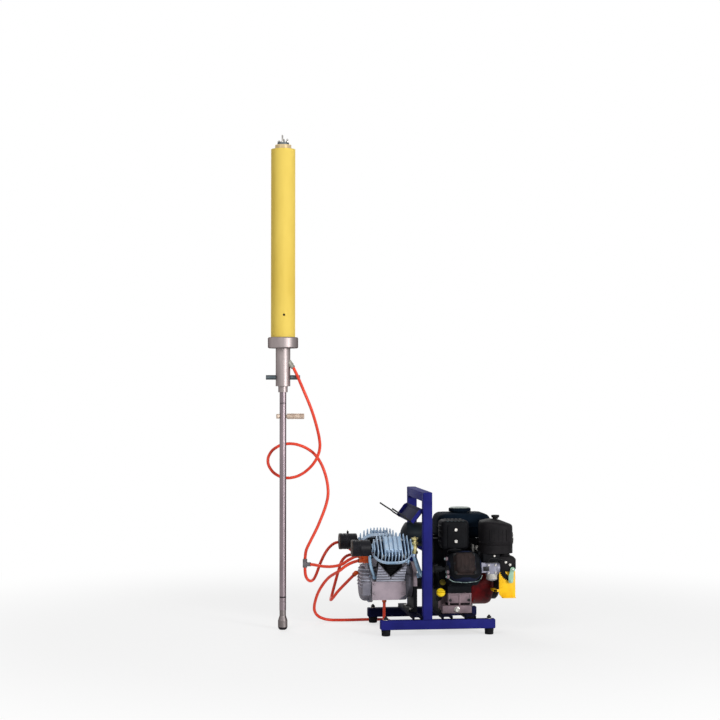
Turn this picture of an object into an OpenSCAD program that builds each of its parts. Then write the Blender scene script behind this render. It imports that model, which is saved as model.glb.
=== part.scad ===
/* [Placement] */
// Power unit centre along X from the origin
unit_x = 137; // [100:0.5:200]
// Power unit centre along Y from the origin
unit_y = 0; // [-20:0.5:20]
// Probe axis along X from the origin
probe_x = -347; // [-450:0.5:-320]
// Probe axis along Y from the origin
probe_y = 30; // [0:0.5:60]

/* [Frame] */
// Length of each rail
rail_len = 372; // [360:1:440]
// Width of the square tube
tube_w = 30; // [26:1:34]
// Wall of the square tube
tube_wall = 2; // [1.5:0.5:3]
// Distance between the two rail centres
rail_pitch = 305; // [300:1:340]
// Height of the rubber feet
foot_h = 20; // [15:1:30]
// Diameter of the rubber feet
foot_d = 30; // [24:1:36]
// Distance of each foot from its rail end
foot_in = 18; // [18:1:30]
// Height of the arch above the floor
arch_h = 458; // [450:1:520]
// Centre of the arch along the rails
arch_x = -34.5; // [-36:0.5:-33]
// Height of the cross bars on the rails
bar_h = 12; // [10:1:16]
// Diameter of the cradle prongs
prong_d = 5; // [4:0.5:8]

/* [Compressor] */
// Height of both crank axes above the floor
crank_z = 156; // [150:1:160]
// Outer radius of the compressor case
case_r = 60; // [57:0.5:62]
// Wall of the compressor case
case_wall = 6; // [4:0.5:8]
// Height of the case fins
case_fin = 7; // [4:0.5:8]
// Bore of each compressor cylinder
comp_bore = 52; // [46:1:54]
// Half stroke of each compressor piston
comp_throw = 20; // [14:1:20]
// Width of each finned head
head_w = 132; // [126:1:134]
// Depth of each finned head
head_d = 104; // [100:1:106]
// Thickness of the head fins
head_fin_t = 3.2; // [2:0.2:4.4]
// Length of each intake filter
filter_len = 61; // [50:1:66]
// Diameter of each intake filter
filter_d = 54; // [48:1:56]
// Diameter of the discharge pipes
pipe_d = 10; // [8:1:12]
// Diameter of the air receiver
receiver_d = 74; // [66:1:76]

/* [Engine] */
// Engine cylinder angle above the floor plane
slant = 25; // [23:0.5:27]
// Diameter of the fuel cap
fuel_cap_d = 74; // [64:1:78]
// Width of the air cleaner
cleaner_w = 107; // [98:1:108]
// Height of the air cleaner cover
cleaner_h = 82; // [70:1:90]
// Radius of the blower housing
blower_r = 80; // [78:0.5:82]
// Radius of the recoil cover
recoil_r = 62; // [58:0.5:66]
// Length of the throttle lever
lever_len = 42; // [34:1:44]
// Diameter of the oil cap
oil_cap_d = 28; // [24:1:30]

/* [Probe] */
// Diameter of the cone tip
tip_d = 31; // [26:1:36]
// Diameter of the drive rod
rod_d = 22; // [20:0.5:24]
// Height of the nose bush above the floor
nose_z = 779; // [760:1:830]
// Diameter of the driver body
driver_d = 48; // [44:1:52]
// Length of the driver body
driver_len = 125; // [122:1:140]
// Diameter of the anvil collar
collar_d = 100; // [92:1:110]
// Thickness of the anvil collar
collar_t = 36; // [32:1:44]
// Outer diameter of the yellow sleeve
sleeve_d = 80; // [74:1:90]
// Length of the yellow sleeve
sleeve_len = 621; // [600:1:680]
// Outer diameter of the hammer barrel
barrel_d = 62; // [58:1:66]
// Bore of the hammer barrel
barrel_bore = 50; // [46:1:50]
// Length of the ram
ram_len = 160; // [120:1:200]
// Length of the two handle bars over all
handle_span = 112; // [100:1:112]
// Upward travel of the drive rod
rod_travel = 20; // [10:1:20]
// Diameter of the air hose
hose_d = 10; // [8:0.5:10]

/* [Clearances] */
// Radial running clearance of shafts and pistons
run_fit = 0.05; // [0.03:0.01:0.1]
// Radial clearance of bolts in their holes
bolt_fit = 0.3; // [0.2:0.05:0.5]
// Radial clearance of parts that are set in place
set_fit = 0.1; // [0.05:0.05:0.2]

/* [Hidden] */
$fn = 48;

// pedestal
ped_x0 = -64;
ped_x1 = -52;
ped_foot = 8;
ped_bolt_r = 36;
ped_r = 64;
ped_foot_y = 50;

// frame
rail_top = foot_h + tube_w;
base_z = rail_top + bar_h;
cap_t = 3;
rail_y = rail_pitch / 2;
foot_x = rail_len / 2 - foot_in;
post_in = rail_y - tube_w / 2;
post_l = arch_x - tube_w / 2;
post_r = arch_x + tube_w / 2;
bar_wall = 3;
bar_w = 32;
ped_bar_w = 28;
ped_bolt_in = 9;
ped_bar_x0 = ped_x1 - ped_bar_w;
ped_bolt_x = ped_bar_x0 + ped_bolt_in;
eng_bar_a = 31;
eng_bar_b = 107;
eng_bolt_y = 85;

// bolts
m8 = 4;
m8_nut = 6.5;
foot_bolt = 21;
eng_bolt = 20;
ped_bolt = 18;
m8_head = 7.5;
m8_head_h = 5.5;
m6 = 3;
m6_head = 5.7;
m5 = 2.5;
m5_head = 4.6;
m5_head_h = 3.5;

// compressor
case_x0 = -200;
case_x1 = -81;
fin_r = case_r + case_fin;
boss_r = 52;
comp_shaft = 10;
comp_webs = [-175, -132];
comp_web_t = 12;
comp_web_r = 30;
comp_pin = 11;
comp_pin_x = [-164, -131];
comp_cheek = 16;
comp_end_a = -172;
comp_end_b = -124;
comp_out = -28;
coup_r = 27;
spider_r = 28;
coup_x0 = -46;
spider_x0 = -24;
spider_x1 = -14;
coup_x1 = 8;
deck = 74;
pad_r = 42;
gusset_t = 4;
gusset_w = 46;
front_x = -143;
rear_x = -155;
head_in = 152;
head_base = 12;
head_top = 194;
head_bolt = 33;
port_r = 173;
pad_face = head_w / 2 + 2;
cover_y = 68;
cover_t = 4;
cover_z0 = -52;
cover_z1 = 8;
gusset_z = (cover_z1 + 0.6) * sqrt(2) + pad_r + 1 + gusset_t;
cover_x0 = case_x0 - 1;
cover_x1 = case_x1 - 10;
bell_len = 34;
bell_r = case_r + 2;
bell_round = 18;
flange_r = fin_r;
pipe_x = -72.5;
elbow_w = 16;
port_y = port_r * cos(45);
pipe_low = 30;
elbow_low = 18;
bend_r = 20;
pipe_in = 20;
elbow_x1 = 9;
stem_x = 3.5;
stem_r = 4;
stem_h = 20;
gland_r = 5.6;
gland_h = 13;
knob_z = 18;
knob_h = 9;
side_r = 4.5;
side_out = 30;
side_low = sqrt(pow(fin_r, 2) - pow(side_out - side_r, 2)) + 0.4;
outlet_y = -35;
outlet_x0 = -243;
outlet_x1 = -207;
outlet_z = 80;
outlet_up = 88;
outlet_low = 73;
drain_x = -150;
drain_y = 10;
receiver_r = receiver_d / 2;
receiver_up = 157;
saddle_drop = 47;
receiver_z = crank_z + receiver_up;
saddle_z = receiver_z - saddle_drop;
cradle_drop = 1;
lip_top = 53;
lip_bend = 65;
lip_out = 28.5;
lip_low = 100.5;
lip_t = 3;
ear_out = 38;
ear_low = 92;
ear_in = 12;
ear_top = 57;
prong_len = 82;
prong_in = 12;
arch_clear = 108;
arch_top = max(arch_h, receiver_z + receiver_r + arch_clear);
cradle_z = arch_top - cradle_drop;
receiver_end = 5;
receiver_len = 85;
receiver_round = 18;
receiver_wall = 4;
receiver_in = -76;
saddle_half = 20;
saddle_rest = 9;
receiver_hole = -73;

// engine
eng_x0 = 18;
eng_x1 = 125;
eng_shaft = 11;
eng_end_a = -10;
eng_webs = [52, 92];
eng_web_t = 10;
eng_web_r = 42;
eng_cheek = 19;
eng_throw = 27;
eng_pin = 14;
eng_case_r = 78;
cyl_x = 92;
eng_deck = 88;
eng_head_in = 135;
eng_head_out = 165;
eng_bore = 34;
eng_foot_x1 = 120;
eng_foot_y = 104;
eng_foot_t = 10;
lug_x0 = 21;
lug_x1 = 117;
lug_y0 = -122;
lug_y1 = -103;
lug_low = 2;
lug_high = 26;
sump_y = 66;
sump_drop = 30;
front_x0 = 42;
front_y0 = -102;
front_low = -58;
front_high = 13;
spread_x0 = 46;
spread_x1 = 138;
spread_y = 46;
hub_r = 28;
oil_y = -58;
oil_neck = 10;
oil_bore = 6;
well_r = 60;
well_x0 = 30;
well_x1 = 117;
fin_x0 = 38;
fin_x1 = 146;
fin_y = 48;
jacket_x0 = 50;
jacket_x1 = 134;
jacket_y = 42;
plug_y = -10;
plug_out = 150;
plug_x = 28;
valve_x = 88.5;
valve_w = 70;
valve_d = 74;
valve_t = 4;
valve_h = 18;
exhaust_x = 62;
exhaust_y = 34;
exhaust_out = 146;
exhaust_r = 12;
far = 200;
shroud_x0 = 7;
shroud_x1 = 150;
shroud_y0 = -34;
shroud_y1 = 60;
shroud_t = 3;
shroud_up = 40;
tank_up = 236;
tank_z = base_z + tank_up;
tank_h = 80;
tank_step = 15;
tank_crown = 8;
tank_in = 30;
neck_h = 11;
tank_x = 115;
tank_y = 45;
tank_w = 180;
tank_d = 146;
tank_round = 26;
tank_wall = 3;
neck_x = 110;
neck_r = 25;
muff_up = 206;
muff_h = 95;
muff_z0 = base_z + muff_up;
muff_z1 = muff_z0 + muff_h;
guard_w = 50;
guard_h = 72;
guard_t = 5;
outlet_drop = 30;
outlet_back = -70;
exhaust_gap = 14;
exhaust_len = 30;
muff_x = 66;
muff_w = 90;
muff_y = -38;
muff_d = 77;
muff_round = 14;
muff_wall = 3;
muff_mid = (muff_z0 + muff_z1) / 2;
guard_bolts = [muff_z0 + 28, muff_z0 + 65];
clean_x = 200.5;
clean_y = -98;
clean_up = 195;
clean_z = base_z + clean_up;
latch_w = 18;
latch_h = 30;
latch_z = 8;
latch_t = 5;
clean_base = 27;
clean_round = 40;
clean_wall = 4;
clean_stud = 3;
carb_y = -128;
carb_up = 147;
carb_z = base_z + carb_up;
elbow_up = 136;
elbow_h = 49;
elbow_z0 = base_z + elbow_up;
elbow_z1 = elbow_z0 + elbow_h;
elbow_front = -138;
elbow_bolts = [[226, 30], [240, 22]];
lever_x = 248;
lever_z = elbow_z0 + 7;
plate_y = -130;
plate_t = 3;
arm_x = 188;
arm_up = 70;
arm_z = base_z + arm_up;
arm_h = 8;
recoil_x = 202;
recoil_t = 22;
arm_y = -sqrt(pow(blower_r, 2) - pow(crank_z - arm_z - arm_h, 2)) - 0.3;
pull_off = 35;
rope_r = 2;
rope_in = 40;
rope_out = 84;
stop_z = 72;
stop_r = 6;
stop_h = 10;
vent_ring = 40;
vent_r = 7;
rope_hole = 2.5;
rope_set = 9;
grip_out = 87;
grip_len = 70;
grip_r = 9;
fly_r = blower_r - 10;
fly_w = 40;
fan_w = 14;
fly_x0 = eng_x1 + 9;
fly_x1 = fly_x0 + fly_w;
fan_x1 = fly_x1 + fan_w;
fan_hub = 22;
fan_in = 28;
fan_t = 4;
fly_dish = fly_r - 12;
fly_deep = 22;
oil_len = 45;
oil_x = 19;
oil_z = -52;

// probe
tip_top = 64;
rod_r = rod_d / 2;
nose_h = 20;
nose_r = 15.5;
driver_z = nose_z + nose_h;
driver_r = driver_d / 2;
collar_z = driver_z + driver_len;
sleeve_z = collar_z + collar_t;
sleeve_top = sleeve_z + sleeve_len;
seat_r = barrel_d / 2 + set_fit;
spigot_r = 21;
spigot_top = sleeve_z + 14;
chamber_r = 17;
plug_h = 21;
flange_rod = chamber_r - 0.5;
rod_top = spigot_top - rod_travel - 2;
handle_z = driver_z + 29;
pin_z = nose_z - 79;
pin_r = 5;
nip_z = driver_z + 102;
nip_turn = -18;
nip_tip = 139.5;
nip_len = 54;
nip_end = [probe_x + nip_len * sin(nip_tip) * cos(nip_turn),
    probe_y + nip_len * sin(nip_tip) * sin(nip_turn), nip_z + nip_len * cos(nip_tip)];

// hose ends
tee = [-271, 60, 213];
tee_turn = -27;
tee_arm = 20;
tee_half = 14;
tee_low = -3;
tee_side = [tee[0] + tee_arm * cos(tee_turn), tee[1] + tee_arm * sin(tee_turn), tee[2] + tee_low];
up_port = [unit_x + outlet_x0, unit_y + outlet_y, crank_z + outlet_up];
low_port = [unit_x + outlet_x0, unit_y + outlet_y, crank_z + outlet_low];
back_x0 = rear_x - 20;
back_y = 68;
back_r = 168;
back_gap = 7;
back_a = [unit_x + back_x0, unit_y + (back_r + back_gap + back_y) * cos(45),
    crank_z + (back_r + back_gap - back_y) * cos(45)];
back_b = [unit_x + back_x0, unit_y + (back_r - back_gap + back_y) * cos(45),
    crank_z + (back_r - back_gap - back_y) * cos(45)];
bell_port = [unit_x + case_x0 - bell_len - 16.5, unit_y + 30, crank_z + 17.5];
drain_port = [unit_x + drain_x, unit_y + drain_y, crank_z - fin_r - 3];

// hose routes, read from the photograph
main_route = concat([nip_end], [[-304, 15, 840], [-274, 12, 770], [-256, 16, 727],
    [-241, 25, 684], [-229, 35, 640], [-223, 45, 600], [-233, 53, 560], [-257, 60, 527], [-289, 66, 504],
    [-325, 70, 495], [-360, 73, 503], [-385, 75, 526], [-393, 77, 556], [-379, 79, 585], [-350, 80, 603],
    [-315, 80, 608], [-280, 80, 600], [-248, 80, 582], [-222, 79, 553], [-199, 75, 495], [-194, 72, 430],
    [-223, 67, 345], [-262, 61, 267], [-270, 60, 245]], [[tee[0], tee[1], tee[2] + tee_half]]);
front_route = concat([tee_side], [[-236, 42, 208], [-210, 27, 205], [-182, 8, 207], [-156, -13, 216],
    [-133, -30, 233]], [up_port]);
rear_route = concat([[tee[0], tee[1], tee[2] - tee_half]],
    [[-268, 65, 171], [-259, 78, 156], [-248, 95, 150], [-236, 113, 155], [-226, 127, 170],
    [-210, 148, 205], [-190, 161, 240], [-168, 168, 263], [-146, 171, 271], [-124, 172, 265],
    [-103, 173, 244], [-62, 173, 228]], [back_a]);
balance_route = concat([back_b], [[-66, 163, 220], [-94, 163, 228], [-117, 163, 226], [-136, 162, 208],
    [-147, 160, 178], [-160, 155, 135], [-174, 130, 96], [-180, 106, 86], [-180, 84, 89], [-173, 65, 102],
    [-160, 50, 122]], [bell_port]);
floor_route = concat([low_port], [[-128, -35, 222], [-147, -30, 211], [-163, -16, 196], [-195, 52, 163],
    [-221, 110, 111], [-231, 153, 55], [-224, 167, 32], [-206, 176, 16], [-170, 182, 7],
    [-31, 184, 6], [-4, 181, 6], [16, 168, 6], [23, 146, 6], [18, 122, 6], [-5, 82, 6], [-12, 57, 7],
    [-13, 36, 13], [-13, 20, 26], [-13, 12, 48]], [drain_port]);

// shared shapes
module unit() {
    translate([unit_x, unit_y, 0]) children();
}
module crank() {
    translate([unit_x, unit_y, crank_z]) children();
}
module probe() {
    translate([probe_x, probe_y, 0]) children();
}
module box(x0, x1, y0, y1, z0, z1) {
    translate([x0, y0, z0]) cube([x1 - x0, y1 - y0, z1 - z0]);
}
module xcyl(r, x0, x1) {
    translate([x0, 0, 0]) rotate([0, 90, 0]) cylinder(r = r, h = x1 - x0);
}
module bank(side, x) {
    translate([unit_x + x, unit_y, crank_z]) rotate([side * -45, 0, 0]) children();
}
module slanted() {
    translate([unit_x, unit_y, crank_z]) rotate([90 - slant, 0, 0]) children();
}
module ring(r_out, r_in, z0, z1) {
    difference() {
        translate([0, 0, z0]) cylinder(r = r_out, h = z1 - z0);
        translate([0, 0, z0 - 1]) cylinder(r = r_in, h = z1 - z0 + 2);
    }
}
module stadium(w, d, h) {
    linear_extrude(h) {
        square([w - d, d], center = true);
        translate([(w - d) / 2, 0]) circle(d / 2);
        translate([-(w - d) / 2, 0]) circle(d / 2);
    }
}
module rounded(w, d, r, h) {
    linear_extrude(h) {
        square([w - 2 * r, d], center = true);
        square([w, d - 2 * r], center = true);
        for (sx = [-1, 1]) {
            for (sy = [-1, 1]) translate([sx * (w / 2 - r), sy * (d / 2 - r)]) circle(r);
        }
    }
}
module bolt(r, len, head, head_h) {
    translate([0, 0, -len]) cylinder(r = r, h = len + 1);
    cylinder(r = head, h = head_h, $fn = 6);
}
function unit_v(v) = v / norm(v);
function tangent(p, i) = unit_v(p[min(i + 1, len(p) - 1)] - p[max(i - 1, 0)]);
function end_tangent(p, i, a, b) = i == 0 ? a : i == len(p) - 1 ? b : tangent(p, i);
function carry(u, t) = unit_v(u - (u * t) * t);
function side_v(p, i, a, b) = i == 0 ? unit_v(cross(a, abs(a[1]) > 0.9 ? [1, 0, 0] : [0, 1, 0]))
    : carry(side_v(p, i - 1, a, b), end_tangent(p, i, a, b));
module hose(p, a, b) {
    sides = 8;
    n = len(p);
    ring_pts = [for (i = [0:n - 1])
        let (t = end_tangent(p, i, a, b), u = side_v(p, i, a, b), v = cross(t, u))
        for (k = [0:sides - 1])
        p[i] + hose_d / 2 * (cos(k * 360 / sides) * u + sin(k * 360 / sides) * v)];
    walls_a = [for (i = [0:n - 2]) for (k = [0:sides - 1])
        [i * sides + k, (i + 1) * sides + (k + 1) % sides, i * sides + (k + 1) % sides]];
    walls_b = [for (i = [0:n - 2]) for (k = [0:sides - 1])
        [i * sides + k, (i + 1) * sides + k, (i + 1) * sides + (k + 1) % sides]];
    first = [for (k = [1:sides - 2]) [0, k, k + 1]];
    last = [for (k = [1:sides - 2]) [(n - 1) * sides, (n - 1) * sides + k + 1, (n - 1) * sides + k]];
    polyhedron(points = ring_pts, faces = concat(walls_a, walls_b, first, last));
}

// frame parts
module rails() {
    color("royalblue") unit() {
        for (s = [-1, 1]) translate([0, s * rail_y, 0]) {
            difference() {
                box(-rail_len / 2, rail_len / 2, -tube_w / 2, tube_w / 2, foot_h, rail_top);
                box(-rail_len / 2 + cap_t, rail_len / 2 - cap_t, -tube_w / 2 + tube_wall,
                    tube_w / 2 - tube_wall,
                    foot_h + tube_wall, rail_top - tube_wall);
                for (k = [-1, 1]) translate([k * foot_x, 0, foot_h - 1])
                    cylinder(r = m8 + bolt_fit, h = tube_w + 2);
            }
        }
    }
}
module posts() {
    color("royalblue") unit() {
        for (s = [-1, 1]) translate([0, s * rail_y, 0]) difference() {
            box(post_l, post_r, -tube_w / 2, tube_w / 2, rail_top, arch_top);
            box(post_l + tube_wall, post_r - tube_wall, -tube_w / 2 + tube_wall, tube_w / 2 - tube_wall,
                rail_top - 1, arch_top - cap_t);
        }
    }
}
module top_bar() {
    color("royalblue") unit() {
        difference() {
            box(post_l, post_r, -post_in, post_in, arch_top - tube_w, arch_top);
            box(post_l + tube_wall, post_r - tube_wall, -post_in - 1, post_in + 1,
                arch_top - tube_w + tube_wall,
                arch_top - tube_wall);
        }
        box(arch_x - 10, arch_x + 10, -post_in, post_in, saddle_z, saddle_z + 6);
    }
}
module mount_bars() {
    color("royalblue") unit() {
        difference() {
            channel(ped_bar_x0, ped_x1);
            for (s = [-1, 1]) translate([ped_bolt_x, s * ped_foot_y, rail_top - 1])
                cylinder(r = m6 + bolt_fit, h = bar_h + 2);
        }
        for (x = [eng_bar_a, eng_bar_b]) difference() {
            channel(x - bar_w / 2, x + bar_w / 2);
            for (s = [-1, 1]) translate([x, s * eng_bolt_y, rail_top - 1])
                cylinder(r = m8 + bolt_fit, h = bar_h + 2);
        }
    }
}
module channel(x0, x1) {
    difference() {
        box(x0, x1, -rail_y - tube_w / 2, rail_y + tube_w / 2, rail_top, base_z);
        box(x0 + bar_wall, x1 - bar_wall, -rail_y - tube_w, rail_y + tube_w, rail_top - 1,
            base_z - bar_wall);
    }
}
module rubber_feet() {
    color("black") unit() {
        for (s = [-1, 1]) for (k = [-1, 1]) translate([k * foot_x, s * rail_y, 0]) difference() {
            cylinder(d1 = foot_d - 2, d2 = foot_d, h = foot_h);
            translate([0, 0, foot_h - 10]) cylinder(r = m8 + set_fit, h = 11);
        }
    }
}
module hose_cradle() {
    color("royalblue") unit() translate([post_l, 0, cradle_z]) {
        translate([0, rail_y, 0]) rotate([90, 0, 0]) linear_extrude(2 * rail_y)
            polygon([[0, -lip_top], [0, -lip_bend], [-lip_out, -lip_low], [-lip_out - 2.3, -lip_low + 2],
                [-lip_t, -lip_bend + 1.5], [-lip_t, -lip_top]]);
        for (y = [rail_y, -rail_y + lip_t]) translate([0, y, 0]) rotate([90, 0, 0]) linear_extrude(lip_t)
            polygon([[-2, -lip_bend + 1], [-lip_out - 1.2, -lip_low + 1], [-ear_out, -ear_low],
                [-ear_in, -ear_top], [-lip_t, -lip_top], [-2, -lip_top]]);
        for (s = [-1, 1]) translate([-lip_out - 0.5, s * (rail_y - prong_in), -lip_low + 2])
            rotate([0, -55, 0]) cylinder(d = prong_d, h = prong_len);
    }
}
module pedestal() {
    color("darkslategray") unit() difference() {
        union() {
            box(ped_bar_x0, ped_x1, -ped_r, ped_r, base_z, base_z + ped_foot);
            box(ped_x0, ped_x1, -ped_r, ped_r, base_z, crank_z);
            translate([0, 0, crank_z]) xcyl(ped_r, ped_x0, ped_x1);
        }
        translate([0, 0, crank_z]) xcyl(comp_shaft + 4, ped_x0 - 1, ped_x1 + 1);
        for (a = [45:90:315]) translate([0, ped_bolt_r * cos(a), crank_z + ped_bolt_r * sin(a)])
            xcyl(m8 + bolt_fit, ped_x0 - 1, ped_x1 + 1);
        for (s = [-1, 1]) translate([ped_bolt_x, s * ped_foot_y, base_z - 1])
            cylinder(r = m6 + bolt_fit, h = 20);
    }
}
module fasteners() {
    color("dimgray") unit() {
        for (s = [-1, 1]) for (k = [-1, 1]) translate([k * foot_x, s * rail_y, 0]) {
            translate([0, 0, foot_h - 9]) cylinder(r = m8, h = tube_w + foot_bolt);
            translate([0, 0, rail_top]) cylinder(r = 9, h = 1.6);
            translate([0, 0, rail_top + 1.6]) cylinder(r = m8_head, h = m8_nut, $fn = 6);
        }
        for (x = [eng_bar_a, eng_bar_b]) for (s = [-1, 1]) translate([x, s * eng_bolt_y, 0]) {
            translate([0, 0, base_z + eng_foot_t]) bolt(m8, eng_bolt, m8_head, m8_head_h);
            translate([0, 0, base_z - bar_wall - m8_nut]) cylinder(r = m8_head, h = m8_nut, $fn = 6);
        }
        for (s = [-1, 1]) translate([ped_bolt_x, s * ped_foot_y, 0]) {
            translate([0, 0, base_z + ped_foot]) bolt(m6, ped_bolt, m6_head, 4);
            translate([0, 0, base_z - bar_wall - 5]) cylinder(r = m6_head, h = 5, $fn = 6);
        }
        for (a = [45:90:315]) translate([ped_x1, ped_bolt_r * cos(a), crank_z + ped_bolt_r * sin(a)])
            rotate([0, 90, 0]) bolt(m8, ped_x1 - ped_x0 + 8, 6.5, m8_head_h);
        for (x = [cover_x0 + 8, cover_x1 - 8]) for (z = [cover_z0 + 22, cover_z1 - 7])
            translate([x, -cover_y - cover_t, crank_z + z]) rotate([90, 0, 0])
                bolt(m5, 10, m5_head, m5_head_h);
        for (z = guard_bolts) translate([muff_x, muff_y - muff_d - 4, z]) rotate([90, 0, 0])
            bolt(m5, 5, 6, 4);
        for (b = elbow_bolts) translate([b[0], elbow_front, elbow_z0 + b[1]]) rotate([90, 0, 0])
            bolt(m5, 8, m5_head, m5_head_h);
    }
    color("dimgray") {
        head_bolts(-1, front_x);
        head_bolts(1, rear_x);
    }
}
module head_bolts(side, x) {
    bank(side, x) for (a = [-1, 1]) for (b = [-1, 1])
        translate([a * head_bolt, b * head_bolt, head_in + head_base]) bolt(m8, head_base + 13, 7, 8);
}

// compressor parts
module compressor_case() {
    color("silver") difference() {
        union() {
            crank() {
                xcyl(case_r, case_x0, case_x1);
                xcyl(flange_r, case_x0, case_x0 + 6);
                xcyl(boss_r, case_x1 - 1, ped_x0);
                for (i = [-5:5]) intersection() {
                    xcyl(fin_r, case_x0 + 5, case_x1 - 8);
                    box(case_x0, case_x1, -fin_r, fin_r, i * 11 - 1.5, i * 11 + 1.5);
                }
                box(cover_x0 + 2, cover_x1 - 2, -cover_y, -30, cover_z0 + 2, cover_z1 - 2);
            }
            bank(-1, front_x) cylinder(r = pad_r, h = deck);
            bank(1, rear_x) cylinder(r = pad_r, h = deck);
            bank(-1, front_x) gusset();
            bank(1, rear_x) mirror([0, 1, 0]) gusset();
        }
        crank() {
            xcyl(case_r - case_wall, case_x0 - 1, case_x1 - 9);
            xcyl(comp_shaft + run_fit, case_x1 - 12, ped_x0 + 1);
            for (a = [45:90:315]) translate([0, ped_bolt_r * cos(a), ped_bolt_r * sin(a)])
                xcyl(m8 + bolt_fit, ped_x0 - 10, ped_x0 + 1);
            for (x = [cover_x0 + 8, cover_x1 - 8]) for (z = [cover_z0 + 22, cover_z1 - 7])
                translate([x, -cover_y + 8, z]) rotate([90, 0, 0]) cylinder(r = m5 + bolt_fit, h = 10);
        }
        bank(-1, front_x) cylinder(r = comp_bore / 2 + 2, h = deck + 1);
        bank(1, rear_x) cylinder(r = comp_bore / 2 + 2, h = deck + 1);
    }
}
module gusset() {
    translate([0, -pad_r - 1, 0]) rotate([90, 0, 0]) linear_extrude(gusset_t)
        polygon([[-gusset_w, head_in - 3], [-gusset_w, gusset_z], [gusset_w, gusset_z],
            [gusset_w, head_in - 3], [0, deck + 4]]);
    translate([-12, -pad_r - 2, gusset_z]) cube([24, 8, deck - gusset_z - 1]);
}
module end_bell() {
    color("silver") crank() {
        translate([case_x0, 0, 0]) rotate([0, -90, 0]) rotate_extrude() polygon(concat(
            [[flange_r, 0], [flange_r, 6], [bell_r, 6]],
            [for (a = [0:15:90]) [bell_r - bell_round + bell_round * cos(a),
                bell_len - bell_round + bell_round * sin(a)]],
            [[0, bell_len], [0, bell_len - 5], [comp_shaft + run_fit, bell_len - 5],
                [comp_shaft + run_fit, 12], [18, 12],
                [18, bell_len - 8], [bell_r - bell_round - 2, bell_len - 8],
                    [bell_r - 6, bell_len - bell_round - 2], [bell_r - 6, 0]]));
        difference() {
            box(case_x0 - 32, case_x0 - 7, -cover_y - 4, -40, -36, 6);
            xcyl(bell_r - 3, case_x0 - 40, case_x0);
        }
    }
}
module inspection_cover() {
    color("gainsboro") crank() difference() {
        translate([0, -cover_y, 0]) rotate([90, 0, 0]) linear_extrude(cover_t)
            polygon([[cover_x0, cover_z0], [cover_x1 - 24, cover_z0], [cover_x1, cover_z0 + 16],
                [cover_x1, cover_z1], [cover_x0, cover_z1]]);
        for (x = [cover_x0 + 8, cover_x1 - 8]) for (z = [cover_z0 + 22, cover_z1 - 7])
            translate([x, -cover_y + 1, z]) rotate([90, 0, 0]) cylinder(r = m5 + bolt_fit, h = cover_t + 2);
    }
}
module cylinders() {
    color("black") {
        barrel(-1, front_x);
        barrel(1, rear_x);
    }
}
module barrel(side, x) {
    bank(side, x) difference() {
        union() {
            translate([0, 0, deck]) cylinder(r = pad_r, h = 8);
            translate([0, 0, deck]) cylinder(r = 36, h = head_in - deck);
            for (z = [deck + 16:10:head_in - 18]) translate([0, 0, z]) cylinder(r = 40, h = 3);
            translate([-pad_r, -pad_r, head_in - 8]) cube([2 * pad_r, 2 * pad_r, 8]);
        }
        translate([0, 0, deck - 1]) cylinder(r = comp_bore / 2, h = head_in - deck + 2);
        for (a = [-1, 1]) for (b = [-1, 1]) translate([a * head_bolt, b * head_bolt, head_in - 9])
            cylinder(r = m8 + bolt_fit, h = 10);
    }
}
module head(side, x) {
    bank(side, x) difference() {
        union() {
            translate([0, 0, head_in]) stadium(head_w, head_d, head_base);
            intersection() {
                translate([0, 0, head_in]) stadium(head_w, head_d, head_top - head_in);
                for (i = [-5:6]) box(i * 10.9 - 5.45 - head_fin_t / 2, i * 10.9 - 5.45 + head_fin_t / 2,
                    -head_d, head_d, head_in, head_top);
            }
            box(-29, 29, -29, 29, head_in, head_top + 3);
            box(-pad_face, pad_face, -10, 10, port_r - 10, port_r + 10);
        }
        translate([0, 0, head_in - 1]) cylinder(r = comp_bore / 2 - 2, h = 7);
        for (a = [-1, 1]) for (b = [-1, 1]) translate([a * head_bolt, b * head_bolt, head_in - 1]) {
            cylinder(r = m8 + bolt_fit, h = head_base + 2);
            translate([0, 0, head_base + 1]) cylinder(r = 8.5, h = head_top);
        }
    }
}
module front_head() {
    color("lightsteelblue") head(-1, front_x);
}
module rear_head() {
    color("lightsteelblue") head(1, rear_x);
}
module intake_filters() {
    color("black") {
        filter(-1, front_x);
        filter(1, rear_x);
    }
}
module filter(side, x) {
    bank(side, x) translate([-pad_face, 0, port_r]) difference() {
        union() {
            xcyl(9, -5, 0);
            xcyl(filter_d / 2 - 1, -filter_len - 4, -4);
            xcyl(filter_d / 2, -filter_len * 0.55 - 4, -filter_len * 0.55);
            xcyl(filter_d / 2, -filter_len - 4, -filter_len + 6);
        }
        xcyl(5, -20, 1);
        xcyl(filter_d / 2 - 4, -filter_len, -8);
    }
}
module air_pipes() {
    color("silver") crank() {
        pipe_run(-1);
        pipe_run(1);
        translate([pipe_x, 0, boss_r + 0.3]) cylinder(d = pipe_d,
            h = receiver_z - crank_z - receiver_r - boss_r - 0.6);
    }
    color("silver") bank(-1, front_x) translate([-48, -side_out, side_low])
        cylinder(r = side_r, h = head_in - side_low);
}
module pipe_run(side) {
    translate([pipe_x, side * port_y, pipe_low + bend_r])
        cylinder(d = pipe_d, h = port_y - elbow_low - pipe_low - bend_r);
    translate([pipe_x, side * (port_y - bend_r), pipe_low + bend_r]) rotate([0, 90, 0])
        rotate([0, 0, side < 0 ? -90 : 0])
        rotate_extrude(angle = 90) translate([bend_r, 0]) circle(d = pipe_d);
    difference() {
        translate([pipe_x, side * pipe_in, pipe_low]) rotate([side * -90, 0, 0])
            cylinder(d = pipe_d, h = port_y - bend_r - pipe_in);
        xcyl(boss_r, case_x1, ped_x0);
    }
}
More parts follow.
